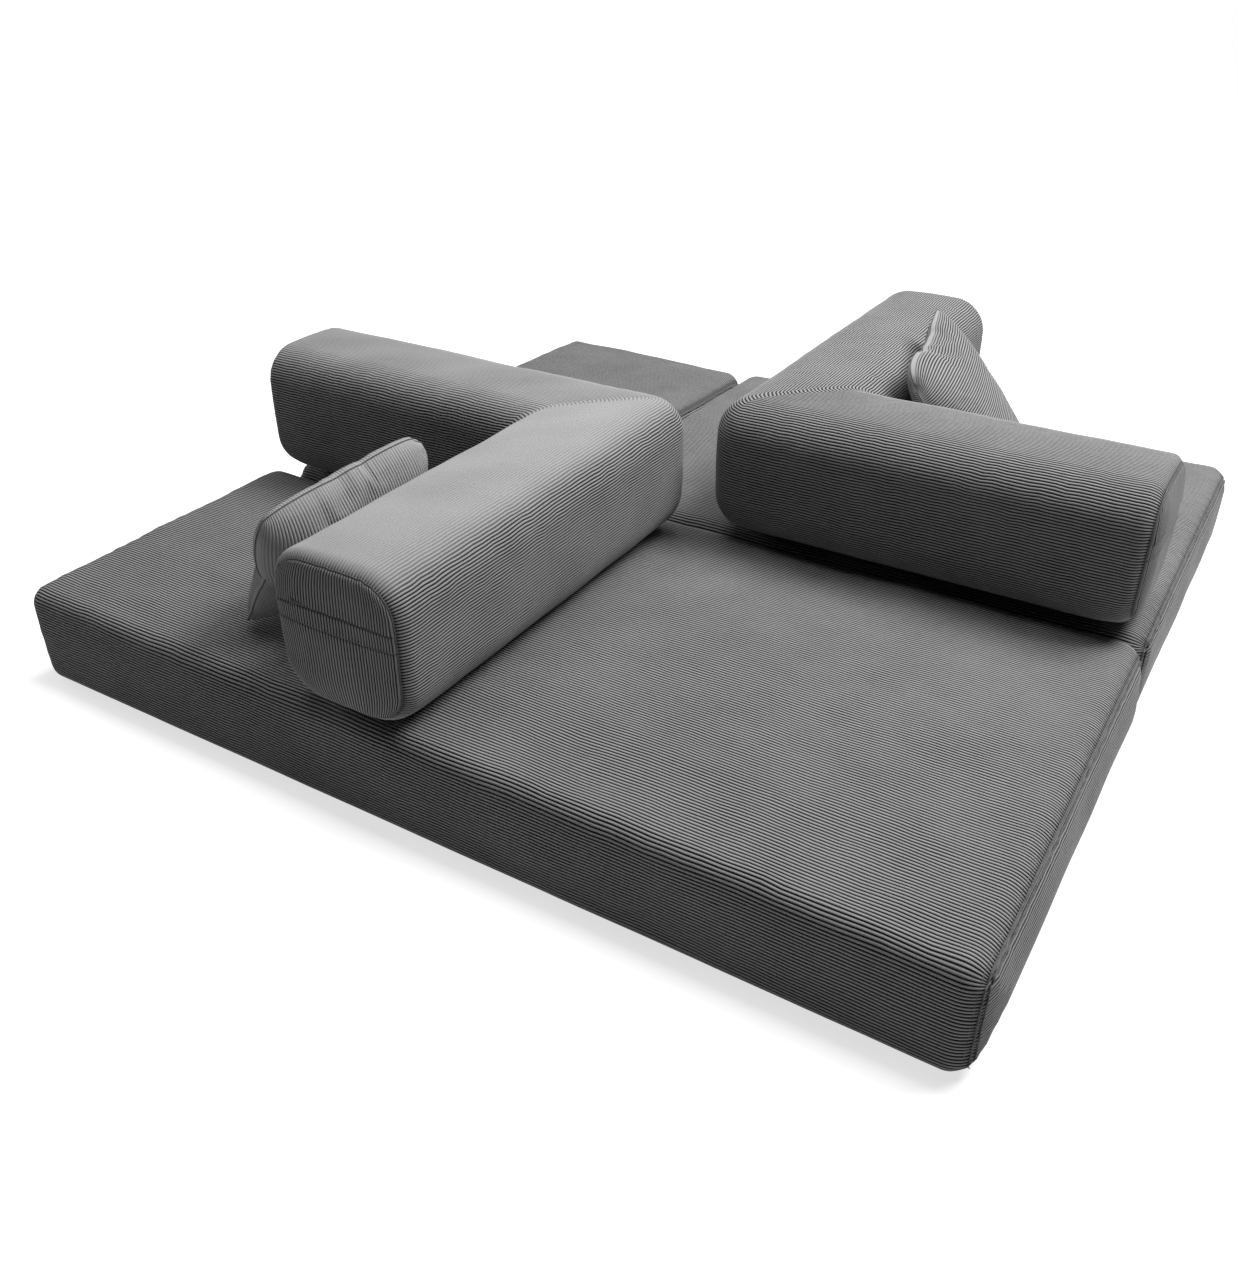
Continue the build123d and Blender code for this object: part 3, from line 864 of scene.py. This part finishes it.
# bolsters
bolsterLook = {
    "width": 274 * mm,
    "height": 302 * mm,
    "rounds": (80 * mm, 80 * mm, 94 * mm, 94 * mm),
    "bulge": 6 * mm,
    "crown": 8 * mm,
    "outerCorner": 70 * mm,
    "innerCorner": 20 * mm,
    "cornerBlend": (34 * mm, 14 * mm),  # the inner corner's round takes over from here, how softly
    "cornerRun": 0.12,  # length counted for the corner, in metres
    "weltRadius": 1.1 * mm,
    "weltOut": (0.2 * mm, 0.6 * mm),  # across the cloth, out from the seam
    "endRound": 32 * mm,
    "endCut": 6 * mm,  # how much of that round is left when the seam comes
    "endSeam": 25 * mm,  # the end panel's seam lies this far behind the end's furthest reach
    "endSwell": 13 * mm,
    "endRoll": 64 * mm,  # the panel swells over this from its seam
    "endLift": 12 * mm,
    "endLiftReach": 46 * mm,
    "wave": 0.7 * mm,
    "wobble": 0.8 * mm,
    "pucker": 0.5 * mm,
    "columnStep": 23 * mm,
    "pitch": 5.8 * mm,
    "cordDepth": (2.5 * mm, 2.0 * mm),  # of the wrap, of the end panels
    "flapLevel": 210.5 * mm,
    "flapLip": (2.4 * mm, 26 * mm),  # how far the upper cloth laps out, fading over
    "topstitchLevel": 174 * mm,
    "topstitchLines": ((0.0, 0.2 * mm), (4.5 * mm, 0.9 * mm)),  # above that level, proud by
    "stitch": (5 * mm, 3.8 * mm, 1.0 * mm),
}


def bolsterPath(c, t, armX, armY):
    # a point of the L: c across from the outer side, t along from the end of the y arm
    look = bolsterLook
    c, t = np.broadcast_arrays(c, t)
    rho = look["outerCorner"] - c
    turnAt, blend = look["cornerBlend"]
    rho = np.where(rho > turnAt, rho, look["innerCorner"] + blend * np.exp((rho - turnAt) / blend))
    x, y = np.empty(c.shape), np.empty(c.shape)
    low, mid, high = t < 1, (t >= 1) & (t <= 2), t > 2
    x[low] = c[low]
    y[low] = armY + (c[low] + rho[low] - armY) * t[low]
    angle = (t[mid] - 1) * math.pi / 2
    x[mid] = c[mid] + rho[mid] * (1 - np.cos(angle))
    y[mid] = c[mid] + rho[mid] * (1 - np.sin(angle))
    x[high] = c[high] + rho[high] + (armX - c[high] - rho[high]) * (t[high] - 2)
    y[high] = c[high]
    return x, y


def bolsterSkin(section, s, runAt, endAt, seed):
    # the wrap's place in its section, its foot and how much it faces up
    look = bolsterLook
    s, runAt, endAt = np.broadcast_arrays(s, runAt, endAt)
    slack = smooth(endAt, 0, 70 * mm)
    moved = s + look["wobble"] * slack * softNoise(runAt, s, seed, 0.20)
    moved = moved + 0.8 * mm * slack * softNoise(runAt, s, seed + 1, 0.055)
    d, z, nd, nz = section.at(np.clip(moved, 0, section.length))
    drop = roundedDrop(look["endRound"] - look["endCut"] - endAt, look["endRound"])
    lift = look["wave"] * softNoise(runAt, s, seed + 2, 0.26)
    lift = lift + 0.4 * look["wave"] * softNoise(runAt, s, seed + 3, 0.08)
    lift = lift * smooth(endAt, 0, 40 * mm)
    near = np.exp(-endAt / (14 * mm))
    lift = lift + look["pucker"] * near * softNoise(s, runAt * 0.2, seed + 4, 0.022)
    base = smooth(z, 0, 40 * mm)
    push = lift * base - drop - 0.8 * mm
    low = np.clip(1 - z / (0.6 * look["height"]), 0, 1) ** 2
    curl = look["endLift"] * bell(endAt, look["endLiftReach"]) * low
    return d + nd * push, np.maximum(z + nz * push, 0.0) + curl, base, smooth(nz, 0.5, 0.97)


def flapLevels():
    # extra rows of the panel where the lip and the topstitching need them
    look = bolsterLook
    sewn = look["topstitchLevel"] / look["height"]
    lip = look["flapLevel"] / look["height"]
    sewnRows = sewn + np.array([-4, -1.8, -0.8, 0, 0.8, 1.8, 4]) * mm / look["height"]
    lipRows = np.array([-8, -4, -1.6, -0.9, -0.3, 0.3, 0.9, 1.6, 4, 8]) * mm / look["height"]
    return np.concatenate([sewnRows, lip + lipRows])


def coverSlot(vs, dist):
    # the upper cloth laps over the lower one by a lip, with a shadow line under it, and is sewn
    # down below: how far the panel comes out for it, and its shadow
    look = bolsterLook
    climb = (vs * look["height"])[:, None]
    over, sewnOver = climb - look["flapLevel"], climb - look["topstitchLevel"]
    inside = smooth(dist, 1 * mm, 7 * mm)
    lip, fade = look["flapLip"]
    under = over + 1.2 * mm
    out = lip * smooth(over, -0.5 * mm, 0.5 * mm) * np.exp(-np.maximum(over, 0) / fade)
    out = out - 2.6 * mm * bell(under, 1.2 * mm)
    sewn = bell(sewnOver, 1.3 * mm)
    out = out - 1.5 * mm * sewn + 0.7 * mm * bell(sewnOver - 5 * mm, 3 * mm)
    return out * inside, np.clip(1.3 * bell(under, 2.2 * mm) * inside + 0.5 * sewn, 0, 1)


def buildBolster(name, place, armX, armY, seed, flapArm, worn):
    look, pitch = bolsterLook, bolsterLook["pitch"]
    wrapDepth, endDepth = look["cordDepth"]
    section = Section(look["width"], look, look["height"])
    rows = cordRows(section.length, pitch)[:, None]
    seamX, seamY = armX - look["endSeam"], armY - look["endSeam"]
    fine, plain = (0.06, 0.006), (0, 0)
    straightY = stations(0, 1, look["columnStep"] / seamY, (fine, plain))
    straightX = stations(0, 1, look["columnStep"] / seamX, (plain, fine))
    ts = np.concatenate([straightY, 1 + np.linspace(0, 1, 15)[1:-1], 2 + straightX])[None, :]
    # run: metres along the L, for noise and uv
    bend = look["cornerRun"]
    pastBend = seamY + bend + (ts - 2) * seamX
    run = np.where(ts < 1, ts * seamY, np.where(ts <= 2, seamY + (ts - 1) * bend, pastBend))
    full = run.max()
    toEnd = np.minimum(run, full - run)
    c, z, base, facingUp = bolsterSkin(section, rows, run, toEnd, seed)
    x, y = bolsterPath(c, ts, seamX, seamY)
    # painted highlight on the up-facing tops, by each bolster's own amount, and painted shade along
    # the wrap's two ends beside the end seams
    paintedLighting = worn * facingUp * (0.85 + 0.10 * softNoise(run, rows, seed + 5, 0.18))
    paintedLighting = paintedLighting - 0.8 * np.exp(-toEnd / (2.2 * mm))
    wrap = Surface()
    wrap.add(np.stack([x, y, z], axis=-1), rows, run, base, paintedLighting, closeRows=True)
    pieces = {"wrap": raiseCords(wrap.build(name + "CoverWrap", place), wrapDepth, pitch)}
    welts, stitches = [], []
    for arm, axis, reach, runEnd in (("X", 0, seamX, full), ("Y", 1, seamY, 0.0)):

        def border(s, runEnd=runEnd):
            return bolsterSkin(section, s, np.full_like(s, runEnd), np.zeros_like(s), seed)[:2]

        def lift(across, out, up):
            # a point of the panel: across the arm, out from its seam, up
            along = np.broadcast_to(reach + out, across.shape)
            return np.stack([along, across, up] if arm == "X" else [across, along, up], axis=-1)

        wide = look["width"] - 16 * mm
        us = cordRows(wide, pitch) / wide
        vs = stations(0, 1, 0.03, ((0.06, 0.012), (0.06, 0.012)))
        if arm == flapArm:
            vs = np.unique(np.concatenate([vs, flapLevels()]))
        grid, dist = panelGrid(section, border, us, vs)
        c, z = grid[..., 0], grid[..., 1]
        roll = np.clip(dist / look["endRoll"], 0, 1)
        out = look["endSwell"] * np.sqrt(1 - (1 - roll) ** 2) + 1.2 * mm * smooth(dist, 0, 3 * mm)
        out = out + 1.4 * mm * smooth(dist, 0, 50 * mm) * softNoise(c, z, seed + 9, 0.14)
        near = np.exp(-dist / (10 * mm))
        out = out + look["pucker"] * 0.7 * near * softNoise(c, z, seed + 10, 0.02)
        shadow = np.zeros_like(dist)
        if arm == flapArm:
            slotOut, shadow = coverSlot(vs, dist)
            out = out + slotOut
        grid = lift(c, out, z)
        shadow = np.clip(shadow + np.exp(-dist / (1.6 * mm)), 0, 1)
        panel = Surface()
        panel.add(grid, (us * wide)[None, :], z, smooth(dist, 0, 3 * mm), -shadow)
        piece = panel.build(name + "CoverEnd" + arm, place)
        direction = Vector((0, 0, 0))
        direction[axis] = 1
        orient(piece, place.to_3x3() @ direction)
        pieces["end" + arm] = raiseCords(piece, endDepth, pitch)
        loopS = np.linspace(0, section.length, 360)
        d, up = border(loopS)
        _, _, nd, nz = section.at(loopS)
        rise, past = look["weltOut"]
        d, up = d + nd * rise, np.maximum(up + nz * rise, 0.5 * mm)
        welts.append((toWorld(lift(d, past, up), place), True))
        if arm == flapArm:
            for above, depth in look["topstitchLines"]:
                row = np.argmin(np.abs(vs * look["height"] - look["topstitchLevel"] - above))
                line = grid[row, 6:-6].copy()
                line[:, axis] += depth
                stitches.append((toWorld(line, place), False))
    pieces["welt"] = makeWelt(name + "SeamWelts", welts, look["weltRadius"])
    pieces["stitches"] = makeStitches(name + "FlapStitches", stitches, look["stitch"])
    print(name, "made")
    return pieces


seat = island["seat"]
leftPlace = placeMatrix(left + 996 * mm, front + 916 * mm, seat, math.pi)
rightPlace = placeMatrix(left + 1031 * mm, front + 880 * mm, seat)
bolsters = {
    # the last number of each is the painted highlight on its up-facing tops
    "left_bolster": (leftPlace, 958 * mm, 941 * mm, 71, "Y", 0.90),
    "right_bolster": (rightPlace, 874 * mm, 973 * mm, 91, "X", 0.04),
}
for body, sizes in bolsters.items():
    dressed[body] = buildBolster(pieceName(body), *sizes)


# underside cloths, foam and tapes
inner = {
    "shrink": 13 * mm,
    "sideRoom": 28 * mm,
    "endRoom": 44 * mm,
    "cornerRound": 96 * mm,
    "tapeShrink": 0.15 * mm,
    "clothShrink": 0.2 * mm,
    "butt": {"left_bolster": -272 * mm, "right_bolster": 240 * mm},  # where the blocks meet
}


def pressPlatform(place, width):
    back, room = place.inverted(), inner["sideRoom"]

    def press(co):
        spot = back @ co
        spot.x = min(max(spot.x, room), width - room)
        return place @ spot

    return press


def pressBolster(place, armX, armY):
    # keeps a block clear of the rounded ends and of the rounded outer corner of the L
    back, room, corner = place.inverted(), inner["endRoom"], inner["cornerRound"]

    def press(co):
        spot = back @ co
        spot.x, spot.y = min(spot.x, armX - room), min(spot.y, armY - room)
        u, v = corner - spot.x, corner - spot.y
        if u > 0 and v > 0:
            shrink = max(u, v) / math.hypot(u, v)
            spot.x, spot.y = corner - u * shrink, corner - v * shrink
        return place @ spot

    return press


def shrunkCopy(node, name, amount, material, level=None, press=None):
    # the inside block, drawn in a little so that the cover's hollows don't meet it; where it butts
    # against its neighbour (level: axis, place) it stays
    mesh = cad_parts[node].data.copy()
    mesh.name = name
    work = bmesh.new()
    work.from_mesh(mesh)
    bmesh.ops.remove_doubles(work, verts=work.verts, dist=0.01 * mm)
    bmesh.ops.recalc_face_normals(work, faces=work.faces)
    work.normal_update()
    moves = []
    for vertex in work.verts:
        move = vertex.normal.copy()
        if level and abs(vertex.co[level[0]] - level[1]) < 0.5 * mm:
            move[level[0]] = 0.0
            move = move.normalized() if move.length > 0.1 else move * 0
        moves.append(move)
    for vertex, move in zip(work.verts, moves):
        vertex.co -= move * amount
        if press:
            vertex.co = press(vertex.co)
    work.to_mesh(mesh)
    work.free()
    mesh.materials.clear()
    mesh.materials.append(material)
    mesh.shade_flat()
    return addObject(name, mesh)


soft = {}


def fill(body, part, suffix, slot, amount, material, level=None, press=None):
    node = body + "_" + part
    soft[node] = (shrunkCopy(node, node + suffix, amount, material, level, press), body, slot)


for body, (place, width, *_) in platforms.items():
    level = (2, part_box(body + "_foam_firm_layer")[1][2])
    press = pressPlatform(place, width)
    for layer, material in (("firm", foamFirm), ("soft", foamSoft)):
        part = "foam_" + layer + "_layer"
        fill(body, part, "Block", "foam_" + layer, inner["shrink"], material, level, press)
for body, (place, armX, armY, *_) in bolsters.items():
    level, press = (1, inner["butt"][body]), pressBolster(place, armX, armY)
    for part in ("foam_long_block", "foam_short_block"):
        fill(body, part, "Cut", "foam_firm", inner["shrink"], foamFirm, level, press)
for body in (*platforms, *bolsters):
    fill(body, "zip_tape", "Band", "zip_tape", inner["tapeShrink"], zipTape)
    fill(body, "underside_cloth", "Field", "underside_cloth", inner["clothShrink"], underCloth)
print("inner pieces made")


# pillows
pillowLook = {
    "left": {
        "centre": (-368.5 * mm, -624.5 * mm, 358.6 * mm),
        "along": (0.172, 0.976, 0.131),
        "facing": (-0.794, 0.059, 0.606),
        "size": (405 * mm, 304 * mm, 134 * mm),
        "seed": 5,
        # painted light: this pillow's whole cover is lifted toward the paler cord colour
        "worn": 0.85,
        "corners": (0.15, 0.0, 0.19, 0.10),  # how far each is drawn in: - -, - +, + -, + +
        "rim": ((1, -1, 34 * mm), (1, 1, -22 * mm)),  # axis, end, how far that edge sits forward
        "reach": ((1, -1, 8 * mm), (1, 1, -34 * mm)),  # axis, end, how far that edge is let out
    },
    "right": {
        "centre": (479.4 * mm, 417.5 * mm, 386.3 * mm),
        "along": (0.583, 0.166, -0.796),
        "facing": (0.791, 0.111, 0.602),
        "size": (405 * mm, 346 * mm, 134 * mm),
        "seed": 8,
        # painted light: this pillow's whole cover is lifted toward the paler cord colour
        "worn": 0.05,
        "corners": (0.22, 0.02, 0.10, 0.12),
        "rim": ((0, -1, -12 * mm), (1, 1, 20 * mm)),
        "reach": ((0, -1, 17 * mm),),
    },
    "cut": 440 * mm,  # side of each square panel before filling
    "cells": 56,
    "columns": 68,
    "start": 24 * mm,  # how far each panel stands out before filling
    "stuffed": 66 * mm,  # and in the evenly stuffed shape
    "pressure": 5.0,
    "cloth": {
        "quality": 7,
        "mass": 0.25,
        "tension_stiffness": 18,
        "compression_stiffness": 18,
        "shear_stiffness": 8,
        "bending_stiffness": 0.4,
    },
    "frames": 24,
    "plump": 0.55,  # how much of the evenly stuffed shape is mixed into the simulated one
    "cordDepth": 2.4 * mm,
    "pitch": 5.8 * mm,
    "weltRadius": 1.4 * mm,
    "insert": (0.94, 0.94, 0.86),  # its size in the cover's
}


def panelIndex(n):
    # two square panels that share their border points
    top = np.arange((n + 1) ** 2).reshape(n + 1, n + 1)
    bottom = top.copy()
    insideCount = (n - 1) ** 2
    bottom[1:-1, 1:-1] = (n + 1) ** 2 + np.arange(insideCount).reshape(n - 1, n - 1)
    return top, bottom, (n + 1) ** 2 + insideCount


def panelMesh(name, points, top, bottom):
    faces = []
    for index, flip in ((top, False), (bottom, True)):
        corners = (index[:-1, :-1], index[1:, :-1], index[1:, 1:], index[:-1, 1:])
        quads = np.stack(corners, axis=-1).reshape(-1, 4)
        faces += (quads[:, ::-1] if flip else quads).tolist()
    mesh = bpy.data.meshes.new(name)
    mesh.from_pydata(points.tolist(), [], faces)
    return mesh


def simulate(name, flat, top, bottom, shared):
    # blows the sewn panels up with Cloth and reads their points back
    mesh = panelMesh(name, flat, top, bottom)
    piece = addObject(name, mesh)
    cloth = piece.modifiers.new("filling", "CLOTH")
    for label, value in shared["cloth"].items():
        setattr(cloth.settings, label, value)
    cloth.settings.use_pressure = True
    cloth.settings.uniform_pressure_force = shared["pressure"]
    cloth.settings.effector_weights.gravity = 0
    cloth.collision_settings.use_collision = False
    scene = bpy.context.scene
    for number in range(1, shared["frames"] + 1):
        scene.frame_set(number)
    filled = piece.evaluated_get(bpy.context.evaluated_depsgraph_get()).data
    co = np.empty(len(flat) * 3)
    filled.vertices.foreach_get("co", co)
    scene.frame_set(1)
    bpy.data.objects.remove(piece)
    bpy.data.meshes.remove(mesh)
    return co.reshape(-1, 3)


def fillPillow(name, look, shared):
    # sews two panels round the edge and stuffs them, half by Cloth and half evenly
    n, half = shared["cells"], shared["cut"] / 2
    top, bottom, total = panelIndex(n)
    t = np.linspace(-1, 1, n + 1)
    u, v = np.meshgrid(t, t, indexing="ij")
    dome = (1 - u**4) * (1 - v**4)
    drawn = np.ones_like(u)
    for pull, (su, sv) in zip(look["corners"], ((-1, -1), (-1, 1), (1, -1), (1, 1))):
        drawn -= pull * np.clip(u * su, 0, 1) ** 3 * np.clip(v * sv, 0, 1) ** 3
    planX, planY = u * drawn * half, v * drawn * half
    start = shared["start"] * dome * (1 + 0.25 * softNoise(u, v, look["seed"], 0.7))
    stuffed = shared["stuffed"] * dome**0.52
    pull = 0.055 * (1 - np.abs(u * v)) * dome
    edge = (1 - 0.02 * (1 - v**2) * np.abs(u) ** 3) * (1 - pull)
    side = (1 - 0.03 * (1 - u**2) * np.abs(v) ** 3) * (1 - pull)
    flat, plump = np.zeros((total, 3)), np.zeros((total, 3))
    for index, sign in ((top, 1), (bottom, -1)):
        spots = index.ravel()
        flat[spots] = np.stack([planX, planY, sign * start], axis=-1).reshape(-1, 3)
        full = [planX * edge, planY * side, sign * stuffed]
        plump[spots] = np.stack(full, axis=-1).reshape(-1, 3)
    co = simulate(name, flat, top, bottom, shared)
    # both to the same box, then mixed
    for axis in range(3):
        low, high = co[:, axis].min(), co[:, axis].max()
        aim = plump[:, axis].max() - plump[:, axis].min()
        co[:, axis] = (co[:, axis] - (low + high) / 2) / (high - low) * aim
    return co * (1 - shared["plump"]) + plump * shared["plump"], top, bottom


def cubicSample(grid, t, axis):
    # Catmull-Rom through the grid's rows at positions t (0..rows-1)
    grid = np.moveaxis(grid, axis, 0)
    rows = grid.shape[0]
    k = np.clip(np.floor(t).astype(int), 0, rows - 2)
    f = (t - k)[:, None, None]
    p = np.concatenate([2 * grid[:1] - grid[1:2], grid, 2 * grid[-1:] - grid[-2:-1]])
    a, b, c, d = p[k], p[k + 1], p[k + 2], p[k + 3]
    square, cube = 2 * a - 5 * b + 4 * c - d, 3 * b - a - 3 * c + d
    return np.moveaxis(0.5 * (2 * b + (c - a) * f + square * f**2 + cube * f**3), 0, axis)


def shapeRim(co, top, bottom, look):
    # shifts the pillow's edges forward and outward; the rim's own points belong to the top panel
    t = np.linspace(-1, 1, len(top))
    u, v = np.meshgrid(t, t, indexing="ij")
    middle = (slice(1, -1), slice(1, -1))
    for index, cells in ((top, (u, v)), (bottom[middle], (u[middle], v[middle]))):
        rim = 1 - (1 - cells[0] ** 4) * (1 - cells[1] ** 4)
        for axis, end, forward in look["rim"]:
            co[index.ravel(), 2] += (forward * rim * np.clip(end * cells[axis], 0, 1)).ravel()
        for axis, end, out in look["reach"]:
            move = end * out * rim * np.clip(end * cells[axis], 0, 1)
            co[index.ravel(), axis] += move.ravel()


def pillowPlace(look):
    along = Vector(look["along"]).normalized()
    facing = Vector(look["facing"])
    facing = (facing - along * facing.dot(along)).normalized()
    place = Matrix((along, facing.cross(along), facing)).transposed().to_4x4()
    place.translation = Vector(look["centre"])
    return place


def buildPillow(name, look, shared):
    co, top, bottom = fillPillow(name + "Filling", look, shared)
    n = shared["cells"]
    low, high = co.min(axis=0), co.max(axis=0)
    co = (co - (low + high) / 2) / (high - low) * np.array(look["size"]) * 0.985
    shapeRim(co, top, bottom, look)
    place = pillowPlace(look)
    columnT = np.linspace(0, n, shared["columns"])
    pieces = {}
    for key, index, side in (("face", top, 1), ("back", bottom, -1)):
        grid = co[index]
        # the cords lie evenly along the cloth, so they are spaced by its own length
        steps = np.linalg.norm(np.diff(grid, axis=0), axis=2)[:, n // 4 : -n // 4].mean(axis=1)
        length = np.concatenate([[0.0], np.cumsum(steps)])
        acrossAt = cordRows(length[-1], shared["pitch"])
        rowsT = np.interp(acrossAt, length, np.arange(n + 1))
        cloth = cubicSample(cubicSample(grid, rowsT, 0), columnT, 1)
        toRow, toColumn = np.minimum(rowsT, n - rowsT), np.minimum(columnT, n - columnT)
        mask = smooth(np.minimum(toRow[:, None], toColumn[None, :]) / n, 0.004, 0.02)
        panel = Surface()
        along = (columnT / n * shared["cut"])[None, :]
        # the pillow's painted light, the same over the whole panel
        panel.add(cloth, acrossAt[:, None], along, mask, look["worn"])
        piece = panel.build(name + key.capitalize(), place)
        orient(piece, place.to_3x3() @ Vector((0, 0, side)))
        pieces[key] = raiseCords(piece, shared["cordDepth"], shared["pitch"])
    points = toWorld(co * np.array(shared["insert"]), place)
    mesh = panelMesh(name + "Insert", points, top, bottom)
    mesh.materials.append(fillCase)
    mesh.shade_smooth()
    pieces["insert"] = addObject(name + "Insert", mesh)
    turnOutward(pieces["insert"])
    rim = [co[top[0, :]], co[top[1:, -1]], co[top[-1, -2::-1]], co[top[-2:0:-1, 0]]]
    path = (toWorld(np.concatenate(rim), place), True)
    pieces["welt"] = makeWelt(name + "Seam", [path], shared["weltRadius"])
    print(name, "made")
    return pieces


for side in ("left", "right"):
    body = side + "_pillow"
    dressed[body] = buildPillow(side + "Pillow", pillowLook[side], pillowLook)
    soft[body + "_insert"] = (dressed[body].pop("insert"), body, "pillow_fill")


# what stands for what
covers = {
    "wrap": "_cover_wrap",
    "left": "_cover_side_left",
    "right": "_cover_side_right",
    "endX": "_cover_end_x",
    "endY": "_cover_end_y",
    "face": "_cover_face",
    "back": "_cover_back",
}
for body, pieces in dressed.items():
    for key, piece in pieces.items():
        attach(piece, body)
        if key in covers:
            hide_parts(body + covers[key])
for node, (piece, body, slot) in soft.items():
    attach(piece, body)
    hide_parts(node)
    "foam" in slot or "fill" in slot
for node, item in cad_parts.items():
    if node.endswith("zip_slider"):
        item.data.materials.clear()
        item.data.materials.append(zipSlider)


# camera, floor and light
cameraLook = {
    "place": (1.1217, -2.0592, 1.3737),
    "pitch": 31.80,
    "yaw": -31.72,
    "roll": -0.15,
    "lens": 35.471,
}


def makeCamera(look):
    pitch, yaw, roll = (math.radians(look[k]) for k in ("pitch", "yaw", "roll"))
    flat = math.cos(pitch)
    forward = Vector((math.sin(yaw) * flat, math.cos(yaw) * flat, -math.sin(pitch)))
    sideways = Vector((math.cos(yaw), -math.sin(yaw), 0))
    upward = sideways.cross(forward)
    rightAxis = sideways * math.cos(roll) + upward * math.sin(roll)
    upAxis = -sideways * math.sin(roll) + upward * math.cos(roll)
    view = Matrix((rightAxis, upAxis, -forward)).transposed().to_4x4()
    view.translation = Vector(look["place"])
    camera = addObject("camera", bpy.data.cameras.new("camera"))
    camera.matrix_world = view
    camera.data.sensor_fit = "HORIZONTAL"
    camera.data.sensor_width = 36.0
    camera.data.lens = look["lens"]
    camera.data.clip_end = 200
    return camera


bpy.context.scene.camera = makeCamera(cameraLook)

studio = {
    "sky": 0.01,
    "domeRadius": 50.0,
    "floorHalf": 60,
    "bounce": 0.21,
    "floorGlow": (0.68, 1.0),  # emission at the sofa's foot, dimmed there as a painted contact shadow, and away from it
    "foot": (0.96, 0.93, 0.0),  # half the sofa's plan
    "floorReach": 35 * mm,  # how fast the painted contact shadow fades away from the foot
    "lamps": (
        ("keySoftbox", (1.9, 1.0, 3.4), (0.0, 0.0, 0.2), 1.5, 1.5, 152),
        ("topSoftbox", (0.0, 0.5, 3.8), (0.0, 0.0, 0.2), 3.0, 3.0, 84),
        ("leftFill", (-4.2, -0.3, 2.0), (0.0, 0.0, 0.2), 2.4, 2.0, 42),
        ("backFill", (-2.0, 2.6, 3.2), (0.0, 0.0, 0.2), 1.8, 1.6, 6),
    ),
}


def glow(name, base, strength):
    # a stage material that lights itself
    paint = Paint(name, 1.0, specular=0.0)
    paint.set(Base_Color=(base, base, base, 1), Emission_Strength=strength)
    return paint


def makeFloor(name, level, material):
    half = studio["floorHalf"]
    corners = [(x * half, y * half, level) for x, y in ((-1, -1), (1, -1), (1, 1), (-1, 1))]
    mesh = bpy.data.meshes.new(name)
    mesh.from_pydata(corners, [], [(0, 1, 2, 3)])
    mesh.materials.append(material)
    material.cycles.emission_sampling = "NONE"
    floor = addObject(name, mesh)
    return floor


floorPaint = glow("paleFloor", 0.5, 1.0)
spot = floorPaint.objectPlace()
for operation, values in (
    ("ABSOLUTE", {}),
    ("SUBTRACT", {"_1": studio["foot"]}),
    ("MAXIMUM", {"_1": (0.0, 0.0, 0.0)}),
):
    node = floorPaint.node("ShaderNodeVectorMath", {"operation": operation}, _0=spot, **values)
    spot = floorPaint.out(node, "Vector")
length = floorPaint.node("ShaderNodeVectorMath", {"operation": "LENGTH"}, _0=spot)
away = floorPaint.out(length, "Value")
# the floor's emission is dimmed near the sofa's foot: a painted contact shadow
share = 1.0 - (away * (-1.0 / studio["floorReach"])).math("EXPONENT")
dim, bright = studio["floorGlow"]
grey = floorPaint.color(share, (dim, dim, dim), (bright, bright, bright))
floorPaint.link(grey, "Emission Color")
floor = makeFloor("floor", 0.0, floorPaint.material)
floor.visible_diffuse = floor.visible_glossy = floor.visible_shadow = False
# the light that the floor sends back comes from a second sheet just under it
bouncePaint = glow("bounceFloor", 0.5, studio["bounce"])
bouncePaint.set(Emission_Color=(1, 1, 1, 1))
bounceFloor = makeFloor("bounceFloor", -1 * mm, bouncePaint.material)
bounceFloor.visible_camera = False
# a plain pale dome behind everything, seen by the camera only
domePaint = glow("paleDome", 0, 1.0)
domePaint.set(Emission_Color=(1, 1, 1, 1))
domePaint.material.cycles.emission_sampling = "NONE"
work = bmesh.new()
bmesh.ops.create_uvsphere(work, u_segments=48, v_segments=24, radius=studio["domeRadius"])
bmesh.ops.reverse_faces(work, faces=work.faces)
domeMesh = bpy.data.meshes.new("dome")
work.to_mesh(domeMesh)
work.free()
domeMesh.materials.append(domePaint.material)
dome = addObject("dome", domeMesh)
dome.visible_diffuse = dome.visible_glossy = dome.visible_shadow = False
dome.visible_transmission = False
world = bpy.data.worlds.new("studio")
world.use_nodes = True
world.node_tree.nodes["Background"].inputs[0].default_value = (1, 1, 1, 1)
world.node_tree.nodes["Background"].inputs[1].default_value = studio["sky"]
bpy.context.scene.world = world
for name, place, aim, sizeX, sizeY, power in studio["lamps"]:
    data = bpy.data.lights.new(name, "AREA")
    data.shape = "RECTANGLE"
    data.size, data.size_y, data.energy = sizeX, sizeY, power
    lamp = addObject(name, data)
    lamp.location = place
    lamp.rotation_euler = (Vector(aim) - Vector(place)).to_track_quat("-Z", "Y").to_euler()
bpy.context.scene.view_settings.view_transform = "Standard"
print("camera and light set")
